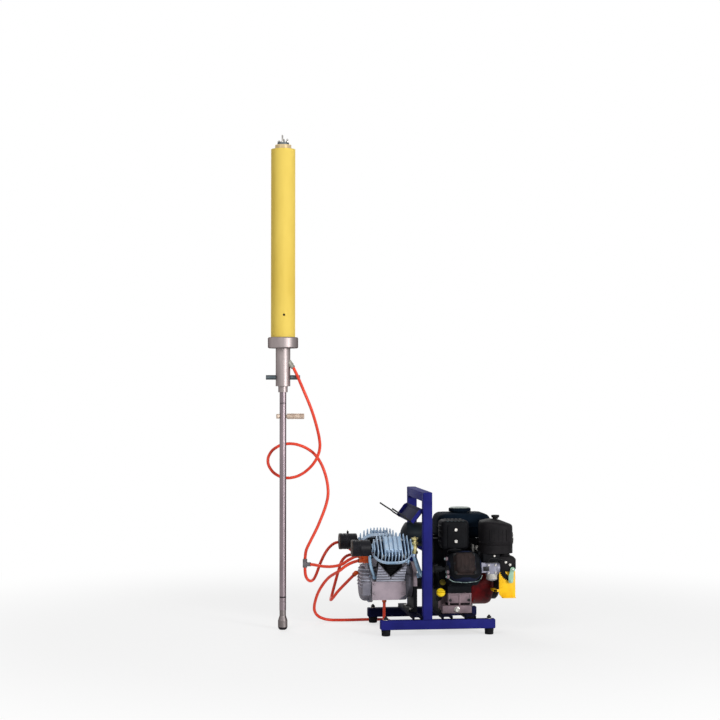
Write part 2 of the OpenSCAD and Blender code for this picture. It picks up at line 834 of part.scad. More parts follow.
module brass_fittings() {
    color("goldenrod") crank() {
        translate([0, -port_y, port_y]) {
            box(front_x + pad_face, pipe_x + elbow_x1, -elbow_w / 2, elbow_w / 2, -elbow_low, elbow_w / 2);
            translate([pipe_x + stem_x, 0, elbow_w / 2 - 1]) cylinder(r = gland_r, h = gland_h, $fn = 6);
            translate([pipe_x + stem_x, 0, elbow_w / 2]) cylinder(r = stem_r, h = stem_h);
            translate([pipe_x + stem_x, 0, elbow_w / 2 + knob_z]) cylinder(r = gland_r, h = knob_h);
        }
        translate([0, port_y, port_y])
            box(rear_x + pad_face, pipe_x + elbow_x1, -elbow_w / 2, elbow_w / 2, -elbow_low, elbow_w / 2);
    }
}
module outlet_fittings() {
    color("orangered") crank() {
        box(outlet_x0, outlet_x1, outlet_y - 10, outlet_y + 10, outlet_low - 8, outlet_up + 8);
        difference() {
            translate([case_x0 - 14, outlet_y, 40]) cylinder(r = 7, h = outlet_low - 42);
            xcyl(bell_r, case_x0 - 40, case_x0 + 40);
        }
        difference() {
            translate([drain_x, drain_y, -fin_r - 3]) cylinder(r = 6, h = 20);
            xcyl(case_r, case_x0, case_x1);
            box(case_x0, case_x1, -fin_r, fin_r, -57, -40);
        }
        translate([case_x0 - bell_len - 8, 30, 26]) {
            rotate([0, 90, 0]) cylinder(r = 6, h = 8);
            sphere(r = 7);
            rotate([0, -135, 0]) cylinder(r = 6, h = 12.02);
        }
    }
    color("orangered") bank(1, rear_x) {
        box(-10, 10, head_d / 2, 60, 160, 172);
        box(-20, 14, 58, 76, back_r - 14.5, back_r + 14.5);
    }
}
module piston(side, x) {
    bank(side, x) difference() {
        translate([0, 0, 92]) cylinder(r = comp_bore / 2 - run_fit, h = 36);
        translate([0, 0, 91]) cylinder(r = comp_bore / 2 - 5, h = 29);
    }
}
module front_piston() {
    color("silver") piston(-1, front_x);
}
module rear_piston() {
    color("silver") piston(1, rear_x);
}
module crankshafts() {
    color("gray") crank() {
        xcyl(comp_shaft, case_x0 - bell_len + 6, comp_end_a);
        xcyl(comp_shaft, comp_end_b, comp_out);
        for (x = comp_webs) {
            translate([0, 0, comp_throw]) xcyl(comp_cheek, x, x + comp_web_t);
            translate([0, 0, -6]) xcyl(comp_web_r, x, x + comp_web_t);
        }
        translate([0, 0, comp_throw]) xcyl(comp_pin, comp_pin_x[0], comp_pin_x[1]);
        xcyl(eng_shaft, eng_end_a, eng_webs[0] + 3);
        xcyl(eng_shaft, eng_webs[1] + 5, fan_x1 + 1);
        for (x = eng_webs) {
            translate([0, 0, eng_throw]) xcyl(eng_cheek, x, x + eng_web_t);
            translate([0, 0, -6]) xcyl(eng_web_r, x, x + eng_web_t);
        }
        translate([0, 0, eng_throw]) xcyl(eng_pin, eng_webs[0] + 9, eng_webs[1] + 1);
    }
}
module shaft_coupling() {
    color("dimgray") crank() {
        difference() {
            xcyl(coup_r, coup_x0, spider_x0);
            xcyl(comp_shaft + set_fit, coup_x0 - 1, spider_x0 - 1);
        }
        xcyl(spider_r, spider_x0, spider_x1);
        difference() {
            xcyl(coup_r, spider_x1, coup_x1);
            xcyl(eng_shaft + set_fit, spider_x1 + 2, coup_x1 + 1);
        }
    }
}
module air_receiver() {
    color("black") unit() translate([0, 0, receiver_z]) difference() {
        union() {
            translate([receiver_end, 0, 0]) rotate([0, -90, 0]) rotate_extrude()
                polygon(concat([[0, 0], [receiver_r - receiver_wall, 0], [receiver_r, receiver_wall]],
                [for (a = [0:15:90]) [receiver_round + (receiver_r - receiver_round) * cos(a)
                    - receiver_round * sin(a), receiver_len + receiver_round * sin(a)]]));
            box(arch_x - saddle_rest, arch_x + saddle_rest, -saddle_half, saddle_half,
                saddle_z + 6 - receiver_z, -receiver_r + 16);
        }
        xcyl(receiver_r - receiver_wall, receiver_in, 0);
        translate([receiver_hole, 0, -receiver_r - 1]) cylinder(r = 4, h = 20);
    }
}

// engine parts
module engine_block() {
    color("dimgray") {
        difference() {
            union() {
                unit() {
                    box(eng_x0, eng_foot_x1, -eng_foot_y, eng_foot_y, base_z, base_z + eng_foot_t);
                    box(lug_x0, lug_x1, lug_y0, lug_y1, base_z + lug_low, base_z + lug_high);
                    box(eng_x0, eng_x1, -sump_y, sump_y, base_z, crank_z - sump_drop);
                }
                crank() {
                    xcyl(eng_case_r, eng_x0, eng_x1);
                    xcyl(hub_r, eng_x0 - 6, eng_x0 + 1);
                    translate([oil_x, oil_y, oil_z]) rotate([60, 0, 0]) cylinder(r = oil_neck, h = oil_len);
                }
                difference() {
                    crank() box(front_x0, eng_foot_x1, front_y0, 0, front_low, front_high);
                    slanted() box(0, far, -far, far, eng_deck, eng_deck + far);
                }
                slanted() box(spread_x0, spread_x1, -spread_y, spread_y, 0, eng_deck);
            }
            crank() {
                xcyl(well_r, well_x0, well_x1);
                xcyl(eng_shaft + run_fit, 0, eng_x1 + 1);
                translate([oil_x, oil_y, oil_z]) rotate([60, 0, 0]) translate([0, 0, oil_len - 20])
                    cylinder(r = oil_bore + run_fit, h = 21);
            }
            slanted() translate([cyl_x, 0, eng_bore / 2]) cylinder(r = eng_bore, h = eng_deck);
            crank() box(eng_x1, far, -far / 2, far / 2, -far / 2, far / 2);
            for (x = [eng_bar_a, eng_bar_b]) for (s = [-1, 1])
                unit() translate([x, s * eng_bolt_y, base_z - 1]) cylinder(r = m8 + bolt_fit, h = 12);
        }
        difference() {
            unit() box(shroud_x0, shroud_x1, shroud_y0, shroud_y1, crank_z + shroud_up, tank_z);
            unit() box(shroud_x0 + shroud_t, shroud_x1 - shroud_t, shroud_y0 + shroud_t,
                shroud_y1 - shroud_t, crank_z, tank_z - shroud_t);
            crank() xcyl(eng_case_r - eng_foot_t, shroud_x0 - 1, eng_x1);
            crank() xcyl(blower_r + 0.5, eng_x1 - 0.5, shroud_x1 + 1);
        }
    }
}
module engine_cylinder() {
    color("dimgray") slanted() difference() {
        union() {
            box(jacket_x0, jacket_x1, -jacket_y, jacket_y, eng_deck, eng_head_in);
            for (z = [eng_deck + 3:8:eng_head_in - 3]) box(fin_x0, fin_x1, -fin_y, fin_y, z, z + 2.6);
            box(fin_x0, fin_x1, -fin_y, fin_y, eng_head_in - 2, eng_head_out);
        }
        translate([cyl_x, 0, eng_deck - 1]) cylinder(r = eng_bore, h = eng_head_in - eng_deck + 3);
    }
}
module valve_cover() {
    color("saddlebrown") slanted() translate([valve_x, 0, eng_head_out]) {
        rounded(valve_w, valve_d, 10, valve_t);
        translate([0, 0, valve_t]) rounded(valve_w - 8, valve_d - 8, 12, valve_h);
    }
}
module spark_plug() {
    color("ivory") slanted() translate([0, plug_y, plug_out]) {
        translate([plug_x, 0, 0]) rotate([0, 90, 0]) cylinder(r = 10, h = 10, $fn = 6);
        xcyl(5, 6, plug_x + 1);
        xcyl(9, -8, 16);
    }
}
module muffler() {
    color("black") {
        difference() {
            unit() {
                translate([muff_x, muff_y, muff_mid]) rotate([90, 0, 0])
                    rounded(muff_w, muff_z1 - muff_z0, muff_round, muff_d);
                translate([muff_x, muff_y - muff_d + 1, muff_mid]) rotate([90, 0, 0])
                    rounded(guard_w, guard_h, 8, guard_t);
            }
            unit() {
                translate([muff_x, muff_y - muff_wall, muff_mid]) rotate([90, 0, 0])
                    rounded(muff_w - 2 * muff_wall, muff_z1 - muff_z0 - 2 * muff_wall,
                        muff_round - muff_wall, muff_d - 2 * muff_wall);
                translate([0, outlet_back, muff_z1 - outlet_drop]) xcyl(10, muff_x - muff_w / 2 - 1,
                    muff_x - muff_w / 2 + 19);
                for (z = guard_bolts) translate([muff_x, muff_y - muff_d + 5, z]) rotate([90, 0, 0])
                    cylinder(r = m5 + bolt_fit, h = 12);
            }
        }
        difference() {
            slanted() translate([exhaust_x, exhaust_y, exhaust_out]) rotate([-90, 0, 0])
                translate([0, 0, exhaust_gap]) cylinder(r = exhaust_r, h = exhaust_len);
            unit() box(0, far, -far, 0, muff_z0 + 1, muff_z1);
        }
    }
}
module fuel_tank() {
    color("black") unit() difference() {
        union() {
            translate([tank_x, tank_y, tank_z]) rounded(tank_w, tank_d, tank_round, tank_h - tank_step + 1);
            translate([tank_x, tank_y, tank_z + tank_h - tank_step])
                rounded(tank_w - 12, tank_d - 12, tank_round - 4, tank_crown);
            translate([tank_x, tank_y, tank_z + tank_h - tank_crown])
                rounded(tank_w - tank_in, tank_d - tank_in, tank_round - 8, tank_crown);
            translate([neck_x, tank_y, tank_z + tank_h - 1]) cylinder(r = neck_r, h = neck_h);
        }
        translate([tank_x, tank_y, tank_z + tank_wall])
            rounded(tank_w - 2 * tank_wall, tank_d - 2 * tank_wall, tank_round - tank_wall, tank_h - 20);
        translate([neck_x, tank_y, tank_z + 20]) cylinder(r = neck_r - 4, h = tank_h);
    }
}
module fuel_cap() {
    color("black") unit() translate([neck_x, tank_y, tank_z + tank_h]) difference() {
        union() {
            translate([0, 0, 3]) cylinder(d = fuel_cap_d, h = 12);
            translate([0, 0, 15]) cylinder(d1 = fuel_cap_d, d2 = fuel_cap_d - 8, h = 3);
        }
        translate([0, 0, 2]) cylinder(r = neck_r + run_fit, h = 8);
        for (a = [0:30:330]) rotate([0, 0, a]) translate([fuel_cap_d / 2 + 2, 0, 2])
            cylinder(r = 4, h = 20);
    }
}
module air_base() {
    color("black") unit() translate([clean_x, clean_y, clean_z]) {
        rounded(cleaner_w, cleaner_w, clean_round, clean_base);
        cylinder(r = clean_stud, h = clean_base + cleaner_h + 9);
    }
}
module air_cover() {
    color("black") unit() translate([clean_x, clean_y, clean_z + clean_base]) difference() {
        union() {
            rounded(cleaner_w, cleaner_w, clean_round, cleaner_h - 10);
            translate([0, 0, cleaner_h - 11]) rounded(cleaner_w - 8, cleaner_w - 8, clean_round - 3, 7);
            translate([0, 0, cleaner_h - 5]) rounded(cleaner_w - 22, cleaner_w - 22, clean_round - 8, 5);
            translate([cleaner_w / 2 - 1, -latch_w / 2, latch_z]) cube([latch_t, latch_w, latch_h]);
        }
        translate([0, 0, -1]) rounded(cleaner_w - 2 * clean_wall, cleaner_w - 2 * clean_wall,
            clean_round - clean_wall, cleaner_h - 12);
        translate([0, 0, -1]) cylinder(r = clean_stud + 0.5, h = cleaner_h + 3);
    }
}
module air_knob() {
    color("black") unit() translate([clean_x, clean_y, clean_z + clean_base + cleaner_h]) difference() {
        union() {
            cylinder(r = 9, h = 4);
            translate([0, 0, 4]) cylinder(r = 12, h = 9);
            translate([-13, -3, 4]) cube([26, 6, 9]);
        }
        translate([0, 0, -1]) cylinder(r = clean_stud + run_fit, h = 11);
    }
}
module carburettor() {
    color("silver") unit() {
        box(146, 165, carb_y - 14, carb_y + 14, carb_z - 13, carb_z + 19);
        box(164, 196, carb_y - 17, carb_y + 17, carb_z - 19, carb_z + 19);
        translate([0, carb_y, carb_z]) xcyl(18, 195, 206);
        translate([182, carb_y, carb_z - 37]) cylinder(r = 17, h = 20);
        translate([182, carb_y, carb_z - 41]) cylinder(r = 5, h = 5);
        translate([176, carb_y - 10, carb_z + 18]) cylinder(r = 4, h = 8);
    }
}
module intake_elbow() {
    color("black") unit() difference() {
        union() {
            box(206, 260, elbow_front, -95, elbow_z0, elbow_z1);
            translate([226, -114, elbow_z1 - 1]) cylinder(r = 17, h = clean_z - elbow_z1 + 1);
            translate([lever_x, elbow_front, lever_z]) rotate([90, 0, 0]) cylinder(r = 3, h = 8);
        }
        for (b = elbow_bolts) translate([b[0], elbow_front + 9, elbow_z0 + b[1]]) rotate([90, 0, 0])
            cylinder(r = m5 + bolt_fit, h = 10);
    }
}
module throttle_plate() {
    color("gold") unit() {
        translate([0, plate_y + plate_t, 0]) rotate([90, 0, 0]) linear_extrude(plate_t)
            polygon([[206, elbow_z0], [206, elbow_z0 - 74], [216, elbow_z0 - 86], [260, elbow_z0 - 86],
                [260, elbow_z0]]);
        box(216, 260, plate_y - 9, plate_y + 1, elbow_z0 - 86, elbow_z0 - 83);
        box(arm_x, 208, plate_y, plate_y + plate_t, arm_z, arm_z + arm_h);
        box(arm_x, arm_x + 12, plate_y, arm_y, arm_z, arm_z + arm_h);
    }
}
module throttle_lever() {
    color("darkseagreen") unit() translate([lever_x, elbow_front - 1, lever_z]) rotate([90, 0, 0])
        difference() {
        union() {
            cylinder(r = 7, h = 4);
            translate([-4, -lever_len, 0]) cube([8, lever_len, 4]);
            translate([0, -lever_len, 0]) cylinder(r = 6, h = 6);
        }
        translate([0, 0, -1]) cylinder(r = 3 + run_fit, h = 6);
    }
}
module blower_housing() {
    color("firebrick") crank() difference() {
        xcyl(blower_r, eng_x1, recoil_x);
        xcyl(blower_r - 4, eng_x1 - 1, recoil_x - 4);
        xcyl(recoil_r - 6, recoil_x - 5, recoil_x + 1);
    }
}
module recoil_cover() {
    color("black") crank() difference() {
        union() {
            xcyl(recoil_r, recoil_x, recoil_x + recoil_t - 6);
            translate([recoil_x + recoil_t - 6, 0, 0]) rotate([0, 90, 0])
                cylinder(r1 = recoil_r, r2 = recoil_r - 6, h = 6);
        }
        xcyl(recoil_r - 5, recoil_x - 1, recoil_x + recoil_t - 5);
        for (a = [0:45:315]) translate([0, vent_ring * cos(a), vent_ring * sin(a)])
            xcyl(vent_r, recoil_x, recoil_x + recoil_t + 1);
        translate([recoil_x + rope_set, 0, 0]) rotate([-45, 0, 0]) translate([0, -pull_off, 0])
            cylinder(r = rope_hole, h = recoil_r + 10);
    }
}
module starter_grip() {
    color("black") crank() translate([recoil_x + rope_set, 0, 0]) rotate([-45, 0, 0])
        translate([0, -pull_off, 0]) {
        translate([0, 0, -rope_in]) cylinder(r = rope_r, h = rope_in + rope_out);
        translate([0, 0, stop_z]) cylinder(r = stop_r, h = stop_h);
        translate([0, 0, grip_out]) rotate([0, 90, 0]) cylinder(r = grip_r, h = grip_len, center = true);
    }
}
module flywheel() {
    color("gray") crank() difference() {
        union() {
            xcyl(fly_r, fly_x0, fly_x1);
            for (a = [0:30:330]) rotate([a, 0, 0])
                box(fly_x1 - 2, fan_x1, -fan_t / 2, fan_t / 2, fan_in, fly_r - 2);
            xcyl(fan_hub, fly_x1 - 2, fan_x1);
        }
        xcyl(eng_shaft + set_fit, fly_x0 - 1, fan_x1 + 2);
        xcyl(fly_dish, fly_x0 - 1, fly_x0 + fly_deep);
    }
}
module oil_cap() {
    color("gold") crank() translate([oil_x, oil_y, oil_z]) rotate([60, 0, 0]) translate([0, 0, oil_len]) {
        translate([0, 0, -14]) cylinder(r = oil_bore, h = 15);
        cylinder(d = oil_cap_d, h = 10);
        translate([-oil_cap_d / 2 + 1, -3, 9]) cube([oil_cap_d - 2, 6, 7]);
    }
}

// probe parts
module hammer_sleeve() {
    color("gold") probe() difference() {
        ring(sleeve_d / 2, barrel_d / 2 + 0.4, sleeve_z, sleeve_top);
        translate([0, -barrel_d / 2 + 2, sleeve_z + 73]) rotate([90, 0, 0]) cylinder(r = 4, h = 20);
    }
}
module hammer_barrel() {
    color("gray") probe() ring(barrel_d / 2, barrel_bore / 2, sleeve_z - 15, sleeve_top);
}
module ram() {
    color("gray") probe() translate([0, 0, spigot_top])
        cylinder(r = barrel_bore / 2 - run_fit, h = ram_len);
}
module top_cap() {
    color("gray") probe() translate([0, 0, sleeve_top]) {
        translate([0, 0, -60]) cylinder(r = barrel_bore / 2 - set_fit, h = 61);
        cylinder(r = barrel_bore / 2 + 2, h = 15);
        translate([0, 0, 14]) cylinder(r = 19, h = 9);
        for (k = [0:3]) rotate([0, 0, 75 + 90 * k]) translate([14, 0, 22]) {
            cylinder(r = 5.2, h = 6, $fn = 6);
            cylinder(r = 3, h = [15, 8, 24, 13][k]);
        }
    }
}
module anvil_collar() {
    color("gray") probe() difference() {
        rotate_extrude() polygon([[0, collar_z], [collar_d / 2 - 3, collar_z],
            [collar_d / 2, collar_z + 3], [collar_d / 2, sleeve_z - 3],
            [collar_d / 2 - 3, sleeve_z], [0, sleeve_z]]);
        translate([0, 0, collar_z - 1]) cylinder(r = spigot_r + set_fit, h = collar_t + 2);
        translate([0, 0, sleeve_z - 15]) cylinder(r = seat_r, h = 16);
    }
}
module driver_body() {
    color("gray") probe() difference() {
        union() {
            translate([0, 0, driver_z]) cylinder(r = driver_r, h = driver_len);
            translate([0, 0, collar_z - 1]) cylinder(r = spigot_r, h = spigot_top - collar_z + 1);
        }
        translate([0, 0, driver_z - 1]) cylinder(r = chamber_r + set_fit, h = plug_h + rod_travel + 24);
        translate([0, 0, driver_z]) cylinder(r = rod_r + 0.5, h = spigot_top - driver_z + 1);
        translate([0, 0, handle_z]) xcyl(5 + set_fit, -driver_r - 1, driver_r + 1);
    }
}
module handle_bars() {
    color("dimgray") probe() translate([0, 0, handle_z]) {
        for (s = [0, 180]) rotate([0, 0, s]) {
            xcyl(5, chamber_r + 1, driver_r + 1);
            xcyl(7.5, driver_r, handle_span / 2);
        }
    }
}
module inlet_nipple() {
    color("silver") probe() difference() {
        translate([0, 0, nip_z]) rotate([0, nip_tip, nip_turn]) {
            translate([0, 0, 18]) cylinder(r = 9, h = 26);
            translate([0, 0, 43]) cylinder(r = 7, h = nip_len - 43);
        }
        translate([0, 0, driver_z]) cylinder(r = driver_r, h = driver_len);
    }
}
module nose_bush() {
    color("gray") probe() difference() {
        union() {
            translate([0, 0, nose_z]) cylinder(r = nose_r, h = nose_h);
            translate([0, 0, driver_z - 1]) cylinder(r = chamber_r, h = plug_h + 1);
        }
        translate([0, 0, nose_z - 1]) cylinder(r = rod_r + run_fit, h = nose_h + plug_h + 2);
    }
}
module drive_rod() {
    color("lightgray") probe() difference() {
        union() {
            translate([0, 0, 36]) cylinder(r = 7, h = tip_top - 35);
            translate([0, 0, tip_top]) cylinder(r = rod_r, h = rod_top - tip_top);
            translate([0, 0, driver_z + plug_h]) cylinder(r = flange_rod, h = 20);
        }
        for (z = [tip_top + 27, nose_z - 37]) ring(rod_r + 1, rod_r - 0.6, z, z + 2);
        translate([0, 0, pin_z]) xcyl(pin_r + run_fit, -rod_r - 1, rod_r + 1);
    }
}
module lock_pin() {
    color("gray") probe() translate([0, 0, pin_z]) {
        xcyl(pin_r, -rod_r - 1, rod_r + 2.5);
        xcyl(8, -rod_r - 11, -rod_r - 0.5);
        xcyl(9.5, rod_r + 2, rod_r + 59);
    }
}
module cone_tip() {
    color("gray") probe() rotate_extrude()
        polygon([[0, 0], [tip_d / 2 - 6.5, 0], [tip_d / 2 - 2.5, 2.5], [tip_d / 2, 8], [tip_d / 2, 30],
        [10.5, 46], [10.5, tip_top], [7 + set_fit, tip_top], [7 + set_fit, 34], [0, 34]]);
}

// hoses
module main_hose() {
    color("orangered") hose(main_route, [sin(nip_tip) * cos(nip_turn), sin(nip_tip) * sin(nip_turn),
        cos(nip_tip)], [0, 0, -1]);
}
module front_branch() {
    color("orangered") hose(front_route, [cos(tee_turn), sin(tee_turn), 0], [1, 0, 0]);
}
module rear_branch() {
    color("orangered") hose(rear_route, [0, 0, -1], [1, 0, 0]);
}
module balance_hose() {
    color("orangered") hose(balance_route, [-1, 0, 0], [cos(45), 0, sin(45)]);
}
module floor_hose() {
    color("orangered") hose(floor_route, [-1, 0, 0], [0, 0, 1]);
}
module hose_tee() {
    color("gray") translate(tee) {
        translate([0, 0, -tee_half]) cylinder(r = 7.5, h = 2 * tee_half);
        translate([0, 0, tee_low]) rotate([0, 90, tee_turn]) cylinder(r = 7, h = tee_arm);
    }
}

rails();
posts();
top_bar();
mount_bars();
rubber_feet();
hose_cradle();
pedestal();
fasteners();
compressor_case();
end_bell();
inspection_cover();
cylinders();
front_head();
rear_head();
intake_filters();
air_pipes();
brass_fittings();
outlet_fittings();
front_piston();
rear_piston();
crankshafts();
shaft_coupling();
air_receiver();
engine_block();
engine_cylinder();
valve_cover();
spark_plug();
muffler();
fuel_tank();
fuel_cap();
air_base();
air_cover();
air_knob();
carburettor();
intake_elbow();
throttle_plate();
throttle_lever();
blower_housing();
recoil_cover();
starter_grip();
flywheel();
oil_cap();
hammer_sleeve();
hammer_barrel();
ram();
top_cap();
anvil_collar();
driver_body();
handle_bars();
inlet_nipple();
nose_bush();
drive_rod();
lock_pin();
cone_tip();
main_hose();
front_branch();
rear_branch();
balance_hose();
floor_hose();
hose_tee();
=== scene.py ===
import math
import bpy
import bmesh
from mathutils import Matrix, Vector


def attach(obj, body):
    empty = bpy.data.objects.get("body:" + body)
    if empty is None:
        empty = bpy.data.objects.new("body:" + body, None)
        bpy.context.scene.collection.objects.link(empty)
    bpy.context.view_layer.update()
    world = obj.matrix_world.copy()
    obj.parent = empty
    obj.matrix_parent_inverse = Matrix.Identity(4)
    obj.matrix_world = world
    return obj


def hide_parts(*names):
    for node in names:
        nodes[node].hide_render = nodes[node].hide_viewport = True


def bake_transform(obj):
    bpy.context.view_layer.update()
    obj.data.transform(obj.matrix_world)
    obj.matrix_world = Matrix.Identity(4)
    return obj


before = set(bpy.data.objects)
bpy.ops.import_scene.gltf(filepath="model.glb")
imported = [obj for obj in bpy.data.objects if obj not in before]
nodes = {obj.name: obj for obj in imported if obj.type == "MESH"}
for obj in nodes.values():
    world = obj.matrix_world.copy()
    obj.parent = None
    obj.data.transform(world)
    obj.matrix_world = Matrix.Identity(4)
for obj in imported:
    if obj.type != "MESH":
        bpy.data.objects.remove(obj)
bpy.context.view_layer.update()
scene = bpy.context.scene
mm = 0.001
here = Matrix.Identity(4)


def move(x, y, z):
    return Matrix.Translation((x, y, z))


def turn(degrees, axis):
    return Matrix.Rotation(math.radians(degrees), 4, axis)


def addObject(name, data):
    made = bpy.data.objects.new(name, data)
    scene.collection.objects.link(made)
    return made


# places that pieces are built in, all in millimetres
unitX, crankZ, railY, footX = 137, 156, 152.5, 168
port = 122.33  # from the crank, out and up to the heads' side ports
banks = {"frontHead": (-1, -143), "rearHead": (1, -155)}  # side and x of each cylinder
ends = (-1, 1)
corners = [(sx, sy) for sx in ends for sy in ends]
unitAt = move(unitX, 0, 0)
crankAt = move(unitX, 0, crankZ)
probeAt = move(-347, 30, 0)
slantAt = crankAt @ turn(65, "X")
alongX = turn(90, "Y")
toLeft = turn(-90, "Y")  # local z to -X
facingFront = turn(90, "X")  # local z to -Y, local y to +Z
toBack = turn(180, "Z") @ facingFront
sideways = Matrix(((0, 0, 1, 0), (1, 0, 0, 0), (0, 1, 0, 0), (0, 0, 0, 1)))  # outline in YZ, depth along X


def bankAt(side, x):  # side -1 is the front cylinder, 1 the rear one
    return crankAt @ move(x, 0, 0) @ turn(side * -45, "X")


def frontAt(x, y, z):
    return move(x, y, z) @ facingFront


# camera, as the photograph was taken
view = {"place": (-0.7689, -5.2319, 0.7777), "turn": (91.17, 0.0, -7.34), "lens": 80, "sensor": 36}
camData = bpy.data.cameras.new("photoCamera")
camData.lens = view["lens"]
camData.sensor_width = view["sensor"]
camera = addObject("photoCamera", camData)
camera.location = view["place"]
camera.rotation_euler = [math.radians(a) for a in view["turn"]]
scene.camera = camera
scene.view_settings.view_transform = "Standard"
print("camera set")


# finishes
def tint(colour):  # screen colour to a linear one
    def lin(c):
        c = c / 255
        return c / 12.92 if c <= 0.04045 else ((c + 0.055) / 1.055) ** 2.4
    return (*(lin(int(colour[k:k + 2], 16)) for k in (1, 3, 5)), 1.0)


def addNode(tree, kind, inputs, **settings):  # an input is a plain value or a socket to link
    node = tree.nodes.new("ShaderNode" + kind)
    for key, value in settings.items():
        setattr(node, key, value)
    for key, value in inputs.items():
        if isinstance(value, bpy.types.NodeSocket):
            tree.links.new(value, node.inputs[key])
        else:
            node.inputs[key].default_value = value
    return node


finishes = {}
softEdge = 0.0008  # rounding that every edge shows, in metres


def addFinish(name, base, other, blotch=60, spread=0.5, grain=700, bump=0.05, rough=(0.35, 0.5), metal=0.0,
              stretch=(1, 1, 1), edge=None, edgeWidth=0.0012, specular=0.5, above=None, rim=None):
    mat = bpy.data.materials.new(name)
    mat.use_nodes = True
    tree = mat.node_tree
    shader = tree.nodes["Principled BSDF"]
    shader.inputs["Metallic"].default_value = metal
    shader.inputs["Specular IOR Level"].default_value = specular
    if rim:  # dark tint on the grazing gloss, painted shade on the steel's edges
        shader.inputs["Specular Tint"].default_value = tint(rim)
    place = addNode(tree, "TexCoord", {}).outputs["Object"]
    where = addNode(tree, "Mapping", {"Vector": place, "Scale": stretch}).outputs["Vector"]

    def noise(scale, detail):
        inputs = {"Vector": where, "Scale": scale, "Detail": detail, "Roughness": 0.6}
        return addNode(tree, "TexNoise", inputs).outputs["Fac"]

    def mapRange(source, low, high, toLow=0, toHigh=1):
        inputs = {"Value": source, "From Min": low, "From Max": high, "To Min": toLow, "To Max": toHigh}
        return addNode(tree, "MapRange", inputs).outputs["Result"]

    def mix(factor, a, b):
        return addNode(tree, "Mix", {0: factor, 6: a, 7: b}, data_type="RGBA").outputs[2]

    patches, fine = noise(blotch, 4), noise(grain, 3)
    half = 0.5 - 0.5 * spread
    colour = mix(mapRange(patches, 0.3 + half * 0.4, 0.7 - half * 0.4), tint(base), tint(other))
    if above:  # other colours above a height
        height, upBase, upOther = above
        up = addNode(tree, "SeparateXYZ", {"Vector": place}).outputs["Z"]
        upper = mix(mapRange(patches, 0.3, 0.7), tint(upBase), tint(upOther))
        colour = mix(mapRange(up, height - 0.001, height + 0.001), colour, upper)
    rounded = addNode(tree, "Bevel", {"Radius": softEdge}, samples=4).outputs["Normal"]
    if edge:  # worn edges, partly a painted highlight along them, broken up by the blotches
        wide = addNode(tree, "Bevel", {"Radius": edgeWidth}, samples=4).outputs["Normal"]
        flat = addNode(tree, "NewGeometry", {}).outputs["Normal"]
        across = addNode(tree, "VectorMath", {0: wide, 1: flat}, operation="DOT_PRODUCT").outputs["Value"]
        parts = {0: mapRange(across, 0.985, 0.86), 1: mapRange(patches, 0.35, 0.65, 0.15, 0.8)}
        wearAndGlint = addNode(tree, "Math", parts, operation="MULTIPLY").outputs["Value"]
        colour = mix(wearAndGlint, colour, tint(edge))
    relief = addNode(tree, "Bump", {"Strength": bump, "Distance": 0.001, "Height": fine, "Normal": rounded})
    tree.links.new(colour, shader.inputs["Base Color"])
    tree.links.new(mapRange(fine, 0.3, 0.7, *rough), shader.inputs["Roughness"])
    tree.links.new(relief.outputs["Normal"], shader.inputs["Normal"])
    finishes[name] = mat


addFinish("framePaint", "#1f216a", "#1b1d5f", blotch=14, grain=260, bump=0.04, rough=(0.55, 0.68),
          specular=0.05, edge="#363a8a", edgeWidth=0.0008)
# darker navy copies of the frame's blue: painted shade on the back rail, the cross channels and the cradle's
# plate
addFinish("framePaintedShade", "#131638", "#0e112d", blotch=14, grain=260, bump=0.04, rough=(0.58, 0.7),
          specular=0.04, edge="#282c58", edgeWidth=0.0008)
addFinish("barNavy", "#0e1024", "#0a0c1c", blotch=14, grain=260, bump=0.04, rough=(0.62, 0.74), specular=0.03)
addFinish("footRubber", "#161619", "#0f0f11", grain=900, bump=0.25, rough=(0.7, 0.85), specular=0.08)
addFinish("standPaint", "#101115", "#0b0c0f", blotch=40, bump=0.12, rough=(0.55, 0.68), specular=0.06,
          above=(0.146, "#92848b", "#80757c"))
addFinish("receiverPaint", "#141d23", "#0e151b", blotch=30, bump=0.06, rough=(0.4, 0.52), specular=0.12)
addFinish("boltZinc", "#c4c0ba", "#969492", blotch=180, metal=0.9, rough=(0.28, 0.45), bump=0.08)
addFinish("boltBlack", "#18181b", "#101012", blotch=120, rough=(0.4, 0.55), bump=0.1, specular=0.2)
addFinish("castGrey", "#a09aa2", "#8a858e", blotch=26, grain=1300, bump=0.3, metal=0.25, rough=(0.48, 0.64),
          edge="#cecbd1", specular=0.25)
# the case's grey darkened as painted shade between the ribs, and the ribs' paler grey as painted light on
# them
addFinish("castPaintedShade", "#78767f", "#66656f", blotch=26, grain=1300, bump=0.3, metal=0.2, rough=(0.52, 0.68),
          edge="#aaa7af", specular=0.15)
addFinish("ribPale", "#b0b2be", "#9496a4", blotch=30, grain=1200, bump=0.2, metal=0.25, rough=(0.44, 0.58),
          specular=0.3)
addFinish("coverGrey", "#9a8d95", "#8a7f87", blotch=22, grain=900, bump=0.16, metal=0.25, rough=(0.46, 0.58),
          edge="#c8bfc3", specular=0.2)
addFinish("barrelBlack", "#0b0b0d", "#070709", bump=0.25, rough=(0.5, 0.7), edge="#1e1e22", specular=0.12)
# blue tint of the heads' bare aluminium: painted sky reflection
addFinish("headSilver", "#aebed0", "#84a6c4", blotch=20, spread=0.9, grain=1200, bump=0.22, metal=0.45,
          rough=(0.34, 0.5), edge="#e8eef4", specular=0.35)
# dark floor between the head fins: painted shade
addFinish("headPaintedShade", "#181b2a", "#111421", blotch=50, grain=1200, bump=0.3, rough=(0.55, 0.72),
          specular=0.1)
addFinish("filterBlack", "#14141a", "#0e0e13", grain=1100, bump=0.12, rough=(0.42, 0.54), specular=0.13)
addFinish("filterRim", "#322720", "#261e19", grain=1100, bump=0.12, rough=(0.42, 0.55), specular=0.18)
